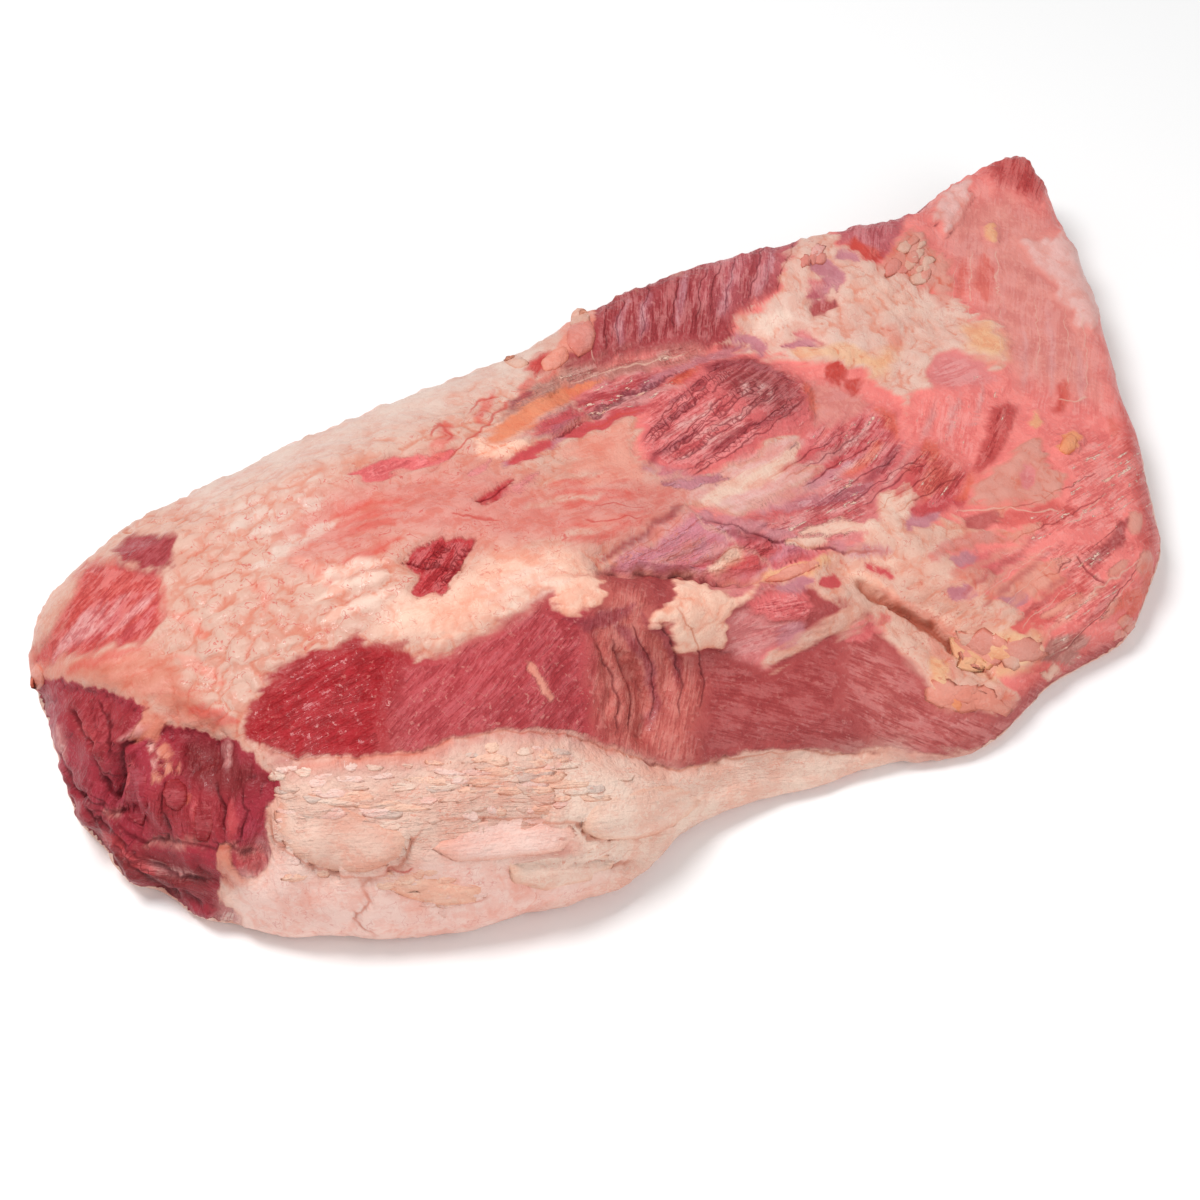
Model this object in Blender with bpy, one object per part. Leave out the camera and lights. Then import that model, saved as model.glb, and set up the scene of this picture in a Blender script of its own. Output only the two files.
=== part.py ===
"""A whole raw beef brisket, lying fat cap down with its lean side up.

The thick point muscle is at -X and the thin flat muscle at +X. The piece is one solid: a plan outline,
a crown over it, a rounded wall all round, and the folds, seams and cut faces as relief in that skin.
"""

from bisect import bisect_right
from math import cos, exp, pi, radians, sin

import bmesh
import bpy
from mathutils import Vector, noise

# Driving dimensions, in metres
LENGTH = 0.516
WIDTH = 0.288
CROWN = 0.092

# The skin is a grid over the crown, and rows of quads down the wall
GRID_ALONG = 72
GRID_ACROSS = 42
WALL_ROWS = 11

# The plan outline seen from above, anticlockwise, as shares of the length and the width.
# Each side runs from the corner that it starts at to the last point before the next side.
FRONT_SIDE = (
    (-0.458, -0.262), (-0.405, -0.350), (-0.337, -0.416), (-0.269, -0.455), (-0.212, -0.474),
    (-0.146, -0.466), (-0.085, -0.418), (-0.019, -0.422), (0.076, -0.440),
)
FLAT_END = (
    (0.146, -0.466), (0.219, -0.406), (0.294, -0.386), (0.362, -0.278), (0.405, -0.118),
    (0.448, 0.087), (0.482, 0.288),
)
BACK_SIDE = (
    (0.503, 0.470), (0.480, 0.517), (0.388, 0.472), (0.314, 0.424), (0.225, 0.418), (0.136, 0.410),
    (0.027, 0.388), (-0.048, 0.344), (-0.138, 0.337), (-0.233, 0.326), (-0.324, 0.305),
)
POINT_END = (
    (-0.390, 0.288), (-0.440, 0.240), (-0.474, 0.189), (-0.488, 0.128), (-0.488, 0.056),
    (-0.497, -0.030), (-0.489, -0.145),
)

# Height of the crown as shares of CROWN: one row for each line along the piece, from the front line
# to the back line, and one number for each station along it, from the point to the flat.
CROWN_ROWS = (
    (0.70, 0.83, 0.88, 0.80, 0.58, 0.43, 0.33, 0.25),
    (0.78, 0.93, 1.00, 0.92, 0.74, 0.52, 0.38, 0.28),
    (0.80, 0.91, 0.96, 0.84, 0.66, 0.53, 0.42, 0.35),
    (0.74, 0.82, 0.84, 0.82, 0.77, 0.66, 0.51, 0.44),
)
# How far the wall's top stands inside the outline, in metres, at even steps along each side
SET_BACK = (
    (0.044, 0.056, 0.058, 0.044, 0.034, 0.030, 0.022),
    (0.016, 0.013, 0.013, 0.013, 0.014),
    (0.014, 0.018, 0.024, 0.030, 0.034, 0.036),
    (0.036, 0.036, 0.040, 0.042, 0.044),
)
# The wall's direction is taken over this much of the outline each way, so that it turns evenly
TURN_REACH = 0.035
TUCK_UNDER = 0.012
BELLY_SHARE = 0.26
# What lies this low rests on the table, and passes of smoothing that settle the skin elsewhere
RESTING = 0.0005
SETTLING = 6
# The relief fades out over this height above the table, and is settled by this much afterwards
FADE = 0.006
RELIEF_SETTLING = 0.3

# Relief, in metres. A line with two coordinates lies on the crown and is measured from above, and one
# with three lies on the wall. Each has its half width, its depth and the height of its lips.
GROOVES = {
    "main crease": (((-0.060, -0.045), (-0.044, -0.047), (-0.028, -0.049), (-0.011, -0.052),
                     (0.010, -0.055), (0.034, -0.056)), 0.0085, 0.0085, 0.0025),
    "fat channel": (((0.040, -0.054), (0.052, -0.066), (0.061, -0.077), (0.070, -0.086), (0.081, -0.104),
                     (0.088, -0.119)), 0.0095, 0.0070, 0.0030),
    "valley before the back rim": (((-0.034, 0.042), (-0.002, 0.056), (0.028, 0.060), (0.063, 0.058),
                                    (0.094, 0.052)), 0.015, 0.0075, 0.0),
    "valley over the point": (((-0.150, 0.000), (-0.117, 0.011), (-0.085, 0.020)), 0.013, 0.003, 0.0015),
    "dip in the flat": (((0.080, 0.000), (0.125, 0.030), (0.170, 0.070)), 0.016, 0.003, 0.0),
    "band fold, first": (((-0.062, -0.066), (-0.054, -0.079), (-0.051, -0.094), (-0.055, -0.108)),
                         0.0080, 0.0045, 0.0015),
    "band fold, second": (((-0.082, -0.062), (-0.074, -0.078), (-0.071, -0.096)), 0.0075, 0.0035, 0.0012),
    "seam of lean and fat": (((-0.190, -0.070, 0.067), (-0.165, -0.086, 0.071), (-0.137, -0.094, 0.072),
                              (-0.109, -0.096, 0.070), (-0.082, -0.101, 0.055), (-0.060, -0.109, 0.040),
                              (-0.052, -0.114, 0.032), (-0.028, -0.114, 0.023), (0.040, -0.125, 0.009)),
                             0.0065, 0.0040, 0.0015),
    "lower fat fold": (((-0.132, -0.127, 0.038), (-0.109, -0.133, 0.036), (-0.090, -0.135, 0.029),
                        (-0.064, -0.130, 0.011)), 0.0055, 0.0060, 0.0030),
    "upper fat fold": (((-0.134, -0.116, 0.056), (-0.115, -0.121, 0.051), (-0.096, -0.128, 0.044),
                        (-0.067, -0.126, 0.021), (-0.048, -0.122, 0.015)), 0.0055, 0.0055, 0.0030),
    "lip of the fat roll": (((-0.194, -0.082, 0.062), (-0.190, -0.093, 0.053), (-0.184, -0.104, 0.045),
                             (-0.174, -0.114, 0.038), (-0.155, -0.123, 0.034), (-0.138, -0.127, 0.035)),
                            0.0055, 0.0050, 0.0030),
    "rim over the end cut": (((-0.248, 0.012, 0.042), (-0.234, -0.013, 0.060), (-0.222, -0.031, 0.063),
                              (-0.206, -0.051, 0.062), (-0.195, -0.068, 0.064)), 0.0065, 0.0045, 0.0035),
    "edge of the end cut": (((-0.190, -0.080, 0.064), (-0.195, -0.087, 0.057), (-0.200, -0.096, 0.047),
                             (-0.211, -0.096, 0.036)), 0.0055, 0.0040, 0.0020),
    "upright cleft": (((-0.235, -0.034, 0.058), (-0.239, -0.042, 0.047), (-0.241, -0.056, 0.035)),
                      0.0050, 0.0065, 0.0025),
    "level cleft": (((-0.248, -0.037, 0.035), (-0.241, -0.058, 0.037), (-0.231, -0.073, 0.042),
                     (-0.204, -0.094, 0.047)), 0.0050, 0.0055, 0.0035),
    "low cleft": (((-0.247, -0.056, 0.027), (-0.236, -0.074, 0.025), (-0.213, -0.098, 0.027)),
                  0.0050, 0.0045, 0.0025),
}
# A groove's lips stand this many half widths from its line, and its ends fade over this share of it
LIP_AT = 1.9
GROOVE_REACH = 4.0
END_FADE = 0.2
# Swellings of the crown: centre, the two half lengths, the turn of the first in degrees, and the height
DOMES = {
    "muscle over the flat": ((0.036, 0.020), 0.060, 0.026, 14.0, 0.0060),
    "back rim": ((0.062, 0.094), 0.080, 0.014, 8.0, 0.0030),
    "shoulder of the point": ((-0.130, 0.040), 0.060, 0.030, 8.0, 0.0030),
    "end of the flat": ((0.160, -0.050), 0.050, 0.040, 70.0, 0.0035),
    "corner of the flat": ((0.240, 0.130), 0.022, 0.022, 0.0, 0.0030),
    "fat beside the channel": ((0.092, -0.084), 0.030, 0.012, -52.0, 0.0040),
}
# Uneven lumps: half the distance between them along, across and up, and their height
LUMPS = {
    "crown": ((0.034, 0.024, 0.030), 0.0022),
    "wall": ((0.016, 0.014, 0.007), 0.0024),
}
# The wall's own lumps set in where the skin has turned this far from level
WALL_FROM = 1.35
# The cut face at the point's end: a rough ellipsoid of chunks with fissures between them
END_CUT_CENTRE = (-0.228, -0.056, 0.036)
END_CUT_REACH = (0.036, 0.056, 0.034)
CHUNK = 0.021
FISSURE = 0.0060
FISSURE_SHARE = 0.42


def between(a, b, c, d, t):
    """A Catmull-Rom curve's value at t of the way from b to c."""
    bend = 2 * a - 5 * b + 4 * c - d
    twist = 3 * b - a - 3 * c + d
    return 0.5 * (2 * b + (c - a) * t + bend * t**2 + twist * t**3)


def closed_spline(points, steps):
    """Points along a closed curve, steps of them for each span."""
    count = len(points)
    found = []
    for i in range(count):
        span = [points[(i + k) % count] for k in (-1, 0, 1, 2)]
        found += [between(*span, k / steps) for k in range(steps)]
    return found


def length_along(points):
    """The running length at each point of a line."""
    found = [0.0]
    for a, b in zip(points, points[1:]):
        found.append(found[-1] + (b - a).length)
    return found


def smooth(t):
    """0 to 1 with level ends."""
    t = min(max(t, 0.0), 1.0)
    return t * t * (3 - 2 * t)


def spline_value(values, share):
    """A smooth curve through evenly spaced values, read at a share of its length."""
    place = min(max(share, 0.0), 1.0) * (len(values) - 1)
    i = min(int(place), len(values) - 2)
    span = [values[min(max(i + k, 0), len(values) - 1)] for k in (-1, 0, 1, 2)]
    return between(*span, place - i)


class Outline:
    """The closed plan outline, read by the length along it, with the length at which each side starts."""

    def __init__(self, steps=8):
        sides = (FRONT_SIDE, FLAT_END, BACK_SIDE, POINT_END)
        points = [Vector((x * LENGTH, y * WIDTH)) for side in sides for x, y in side]
        self.line = closed_spline(points, steps)
        self.line.append(self.line[0])
        self.running = length_along(self.line)
        self.starts = [0.0]
        count = 0
        for side in sides:
            count += len(side) * steps
            self.starts.append(self.running[count])

    def at(self, length):
        """The point at a length along the outline, which closes on itself."""
        length %= self.running[-1]
        i = min(max(bisect_right(self.running, length), 1), len(self.line) - 1)
        a, b = self.running[i - 1], self.running[i]
        return self.line[i - 1].lerp(self.line[i], (length - a) / (b - a))

    def rim(self, side, share):
        """(point on the outline, vector from it to the top of the wall) at a share of one side."""
        length = self.starts[side] + share * (self.starts[side + 1] - self.starts[side])
        along = (self.at(length + TURN_REACH) - self.at(length - TURN_REACH)).normalized()
        return self.at(length), Vector((-along.y, along.x)) * spline_value(SET_BACK[side], share)


def crown_height(u, v):
    """Height of the top at u along the piece and v across it, both 0 to 1."""
    return CROWN * spline_value([spline_value(row, u) for row in CROWN_ROWS], v)


def side_of(u, v):
    """(side, share) of a point on the grid's edge, where u and v are rounded and reach 0 and 1 exactly."""
    if v == 0 and u < 1:
        return 0, u
    if u == 1 and v < 1:
        return 1, v
    if v == 1 and u > 0:
        return 2, 1 - u
    return 3, 1 - v


def settle(bm, factor):
    """Smooths all of the skin but what rests on the table."""
    standing = [vert for vert in bm.verts if vert.co.z > RESTING]
    bmesh.ops.smooth_vert(
        bm, verts=standing, factor=factor, use_axis_x=True, use_axis_y=True, use_axis_z=True
    )


def skin():
    """The bare form: the crown's grid, the wall below it, and the flat face that it rests on."""
    outline = Outline()

    def top(side, share):
        point, into = outline.rim(side, share)
        return point + into

    bm = bmesh.new()
    bmesh.ops.create_grid(bm, x_segments=GRID_ALONG, y_segments=GRID_ACROSS, size=1.0)
    shares = {vert: (round(vert.co.x / 2 + 0.5, 5), round(vert.co.y / 2 + 0.5, 5)) for vert in bm.verts}
    across = {v for _, v in shares.values()}
    along = {u for u, _ in shares.values()}
    front = {u: top(0, u) for u in along}
    end = {v: top(1, v) for v in across}
    back = {u: top(2, 1 - u) for u in along}
    point = {v: top(3, 1 - v) for v in across}
    rims = {}
    for vert, (u, v) in shares.items():
        plan = front[u] * (1 - v) + back[u] * v + point[v] * (1 - u) + end[v] * u
        plan -= (front[0.0] * (1 - u) + front[1.0] * u) * (1 - v)
        plan -= (back[0.0] * (1 - u) + back[1.0] * u) * v
        vert.co = (plan.x, plan.y, crown_height(u, v))
        if vert.is_boundary:
            rims[vert] = (*outline.rim(*side_of(u, v)), vert.co.z)
    for row in range(1, WALL_ROWS + 1):
        angle = pi / 2 - pi * row / WALL_ROWS
        hem = [edge for edge in bm.edges if edge.is_boundary]
        made = bmesh.ops.extrude_edge_only(bm, edges=hem)["geom"]
        below = {}
        for vert in (item for item in made if isinstance(item, bmesh.types.BMVert)):
            above = next(edge.other_vert(vert) for edge in vert.link_edges if edge.other_vert(vert) in rims)
            below[vert] = rims[above]
        for vert, (rim, into, height) in below.items():
            belly = BELLY_SHARE * height
            if angle >= 0:
                plan = rim + into * (1 - cos(angle))
                vert.co = (plan.x, plan.y, belly + (height - belly) * sin(angle))
            else:
                plan = rim + into.normalized() * TUCK_UNDER * (1 - cos(angle))
                vert.co = (plan.x, plan.y, belly * (1 + sin(angle)))
        rims = below
    for _ in range(SETTLING):
        settle(bm, 0.5)
    bmesh.ops.contextual_create(bm, geom=[edge for edge in bm.edges if edge.is_boundary])
    bmesh.ops.recalc_face_normals(bm, faces=bm.faces)
    return bm


def nearest_on(line, place):
    """(distance, share of the way along) from a point to a line of points, from above where it has two
    coordinates."""
    place = Vector(place[:len(line[0])])
    points = [Vector(p) for p in line]
    running = length_along(points)
    best = (1e9, 0.0)
    for i, (a, b) in enumerate(zip(points, points[1:])):
        step = b - a
        t = min(max((place - a).dot(step) / step.length_squared, 0.0), 1.0)
        away = (place - a.lerp(b, t)).length
        if away < best[0]:
            best = (away, (running[i] + t * step.length) / running[-1])
    return best


def groove_depth(place, line, width, depth, lip):
    """A rounded groove with raised lips, which fades out at both ends of its line."""
    away, share = nearest_on(line, place)
    away /= width
    if away > GROOVE_REACH:
        return 0.0
    fade = smooth((share + 0.03) / END_FADE) * smooth((1.03 - share) / END_FADE)
    return fade * (lip * exp(-((away - LIP_AT) ** 2)) - depth * exp(-(away**2)))


def dome_height(place, centre, half_long, half_wide, turn, height):
    """A rounded swelling, highest over its centre."""
    turn = radians(turn)
    x, y = place.x - centre[0], place.y - centre[1]
    along = (x * cos(turn) + y * sin(turn)) / half_long
    across = (y * cos(turn) - x * sin(turn)) / half_wide
    return height * exp(-(along**2 + across**2) * 1.2)


def end_cut_share(place):
    """1 inside the cut face of the point, falling to 0 round it."""
    away = sum(((p - c) / r) ** 2 for p, c, r in zip(place, END_CUT_CENTRE, END_CUT_REACH))
    return smooth(1.6 - away)


def lump_height(place, kind):
    """Uneven lumps of one kind, up and down by their height."""
    size, height = LUMPS[kind]
    return height * noise.noise(Vector((p / s for p, s in zip(place, size))))


def chunk_depth(place):
    """0 over a chunk of the cut face, falling to the bottom of the fissure between it and the next."""
    near = noise.voronoi(place / CHUNK)[0]
    return -FISSURE * (1 - smooth((near[1] - near[0]) / FISSURE_SHARE))


def relief(place, normal):
    """How far the skin stands out at a point, in metres."""
    on_wall = smooth(WALL_FROM - normal.z * 1.5)
    end_cut = end_cut_share(place)
    out = sum(groove_depth(place, *groove) for groove in GROOVES.values())
    if normal.z > 0:
        out += sum(dome_height(place, *dome) for dome in DOMES.values()) * normal.z
    out += lump_height(place, "crown")
    out += lump_height(place, "wall") * on_wall * (1 - end_cut)
    return out + chunk_depth(place) * end_cut


def carve(bm):
    """Moves the standing skin out along its normals by the relief."""
    bm.normal_update()
    moves = {vert: vert.normal * relief(vert.co, vert.normal) for vert in bm.verts}
    for vert, move in moves.items():
        vert.co += move * smooth(vert.co.z / FADE)
    settle(bm, RELIEF_SETTLING)


def follow_folds(bm):
    """Splits each quad along the diagonal that bends less, so that slanting folds run clean."""
    quads = [face for face in bm.faces if len(face.verts) == 4]
    made = bmesh.ops.triangulate(bm, faces=quads, quad_method="BEAUTY", ngon_method="BEAUTY")
    bmesh.ops.beautify_fill(bm, faces=made["faces"], edges=made["edges"], method="ANGLE")


def centre(bm):
    """Puts the origin under the middle of the piece's box, on the table."""
    low, high = (Vector(pick(vert.co[i] for vert in bm.verts) for i in range(3)) for pick in (min, max))
    middle = (low + high) / 2
    bmesh.ops.translate(bm, verts=bm.verts, vec=(-middle.x, -middle.y, -low.z))


def meat():
    """Raw beef, seen from afar: moist red lean with cream fat."""
    material = bpy.data.materials.new("raw beef")
    material.use_nodes = True
    shader = material.node_tree.nodes["Principled BSDF"]
    shader.inputs["Base Color"].default_value = (0.55, 0.20, 0.17, 1.0)
    shader.inputs["Roughness"].default_value = 0.4
    return material


def build():
    """Makes the one object, in an emptied scene."""
    for obj in list(bpy.data.objects):
        bpy.data.objects.remove(obj)
    bm = skin()
    carve(bm)
    follow_folds(bm)
    centre(bm)
    mesh = bpy.data.meshes.new("brisket")
    bm.to_mesh(mesh)
    bm.free()
    mesh.materials.append(meat())
    mesh.shade_smooth()
    brisket = bpy.data.objects.new("brisket", mesh)
    bpy.context.scene.collection.objects.link(brisket)


build()
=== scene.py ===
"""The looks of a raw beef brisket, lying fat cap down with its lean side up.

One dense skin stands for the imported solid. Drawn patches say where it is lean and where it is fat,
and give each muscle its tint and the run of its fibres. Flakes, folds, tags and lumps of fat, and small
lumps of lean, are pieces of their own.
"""

from math import atan2, cos, hypot, pi, radians, sin
from random import Random

import bmesh
import bpy
import numpy as np
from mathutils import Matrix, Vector, noise
from mathutils.bvhtree import BVHTree


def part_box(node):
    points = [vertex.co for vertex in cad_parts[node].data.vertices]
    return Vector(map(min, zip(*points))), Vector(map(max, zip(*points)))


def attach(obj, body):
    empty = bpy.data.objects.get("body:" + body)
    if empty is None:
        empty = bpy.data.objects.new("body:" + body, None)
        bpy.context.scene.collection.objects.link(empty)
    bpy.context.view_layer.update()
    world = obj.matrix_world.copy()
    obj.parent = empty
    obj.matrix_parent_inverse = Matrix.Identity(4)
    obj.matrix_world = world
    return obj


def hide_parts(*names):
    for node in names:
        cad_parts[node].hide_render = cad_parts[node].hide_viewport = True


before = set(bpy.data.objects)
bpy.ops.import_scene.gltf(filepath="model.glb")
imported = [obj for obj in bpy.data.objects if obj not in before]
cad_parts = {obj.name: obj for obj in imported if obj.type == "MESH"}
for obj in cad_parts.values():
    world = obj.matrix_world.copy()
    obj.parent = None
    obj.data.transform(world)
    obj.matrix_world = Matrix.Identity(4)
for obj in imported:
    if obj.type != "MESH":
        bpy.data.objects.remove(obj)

bl_info = {
    "name": "Raw Beef Brisket",
    "version": (1, 0, 0),
    "blender": (4, 5, 0),
    "location": "View3D > Sidebar > Brisket",
    "description": "Dresses the packed solid as a raw beef brisket",
    "category": "Add Mesh",
}

NODE = "brisket"
MEAT = "raw beef, moist cut"
MM = 0.001

# The photograph's camera: its picture is square, and patches are drawn in its pixels
PICTURE = 1200
LENS = 75.0
SENSOR = 36.0
AZIMUTH = -25.0
ELEVATION = 48.0
DISTANCE = 0.9792
TARGET = (-0.0393, -0.0241, 0.0269)
PIXELS_PER_MM = 2.55

# Tints of the lean and the fat, as they look under a white light
TINTS = {
    "tongue pink": "d1818c",
    "streak crimson": "94353f",
    "streak red": "c64d50",
    "streak film": "d8948f",
    "streak cream": "e4bba9",
    "cool lilac": "c27e86",
    "window red": "d6665a",
    "rose red": "d4675c",
    # a painted shadow, for the crevice of the fat and its pits
    "rust brown": "a8624c",
    "amber fat": "de8665",
    "orange red": "da6650",
    "crimson": "a61b23",
    "marbled crimson": "b9474c",
    "brown crimson": "c2645b",
    "plain lean": "a84847",
    "rosy lean": "bb5d59",
    "pink silverskin": "ec817a",
    "pale silverskin": "db8a80",
    "dusky silverskin": "da6861",
    "dome red": "db6c6c",
    "dome dark": "a64a4c",
    "bright red": "c4483f",
    "striped red": "d26769",
    "wine": "bb3338",
    "deep wine": "842b2e",
    "cut red": "a13239",
    "cut wine": "a4323f",
    "rim plum": "a43e42",
    "rim rose": "bd6166",
    "lilac": "d77e7c",
    "plum": "b45a63",
    "membrane red": "c94e48",
    "tip red": "c2504d",
    "valley brown": "b3756a",
    "cream": "efbfa9",
    "front cream": "e4b9a8",
    "pink cream": "eec4b8",
    "warm cream": "ebc8b7",
    "point cream": "d4a695",
    "point pink": "d4897e",
    "pale cream": "d9baad",
    "strip fat": "d0836f",
    "orange fat": "dd9382",
    "patch fat": "ddb2a3",
    "white fat": "e0aba4",
    "bright fat": "dcad9b",
    "yellow fat": "e4ad88",
    "orange lump": "e4946c",
    "rose fat": "d48e80",
    "veil": "dd9794",
}

# How much red, green and blue a pattern leaves of a tint, or adds to it
TONES = {
    "blushing fat": (0.97, 0.77, 0.72),
    "milky fat": (1.04, 1.12, 1.13),
    "mottled fat": (0.95, 0.78, 0.74),
    "pale fat": (1.03, 1.12, 1.13),
    # painted light: the middles of lobes of fat are paler, as if lit on their puffy tops
    "painted light on fat lobes": (1.03, 1.13, 1.15),
    "seam of fat": (0.94, 0.52, 0.42),
    "curl in fat": (0.97, 0.60, 0.52),
    "dark strand of fat": (0.92, 0.58, 0.56),
    "light strand of fat": (1.05, 1.18, 1.18),
    "shred of fat": (1.04, 1.13, 1.14),
    "tear in fat": (0.98, 0.80, 0.72),
    "margin of fat": (0.93, 0.62, 0.57),
    # painted shade: the tones that hollows and creases darken to
    "painted shade of fat": (0.84, 0.54, 0.47),
    "dark strand of lean": (0.68, 0.42, 0.46),
    "light strand of lean": (1.20, 1.75, 1.72),
    "cloudy lean": (0.82, 0.64, 0.66),
    "mottled lean": (1.12, 1.30, 1.27),
    "margin of lean": (1.05, 1.0, 1.0),
    "painted shade of lean": (0.42, 0.26, 0.30),
}


def linear(code):
    """The linear colour of an sRGB hex code."""
    parts = [int(code[i:i + 2], 16) / 255 for i in (0, 2, 4)]
    return tuple(c / 12.92 if c <= 0.04045 else ((c + 0.055) / 1.055) ** 2.4 for c in parts)


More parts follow.
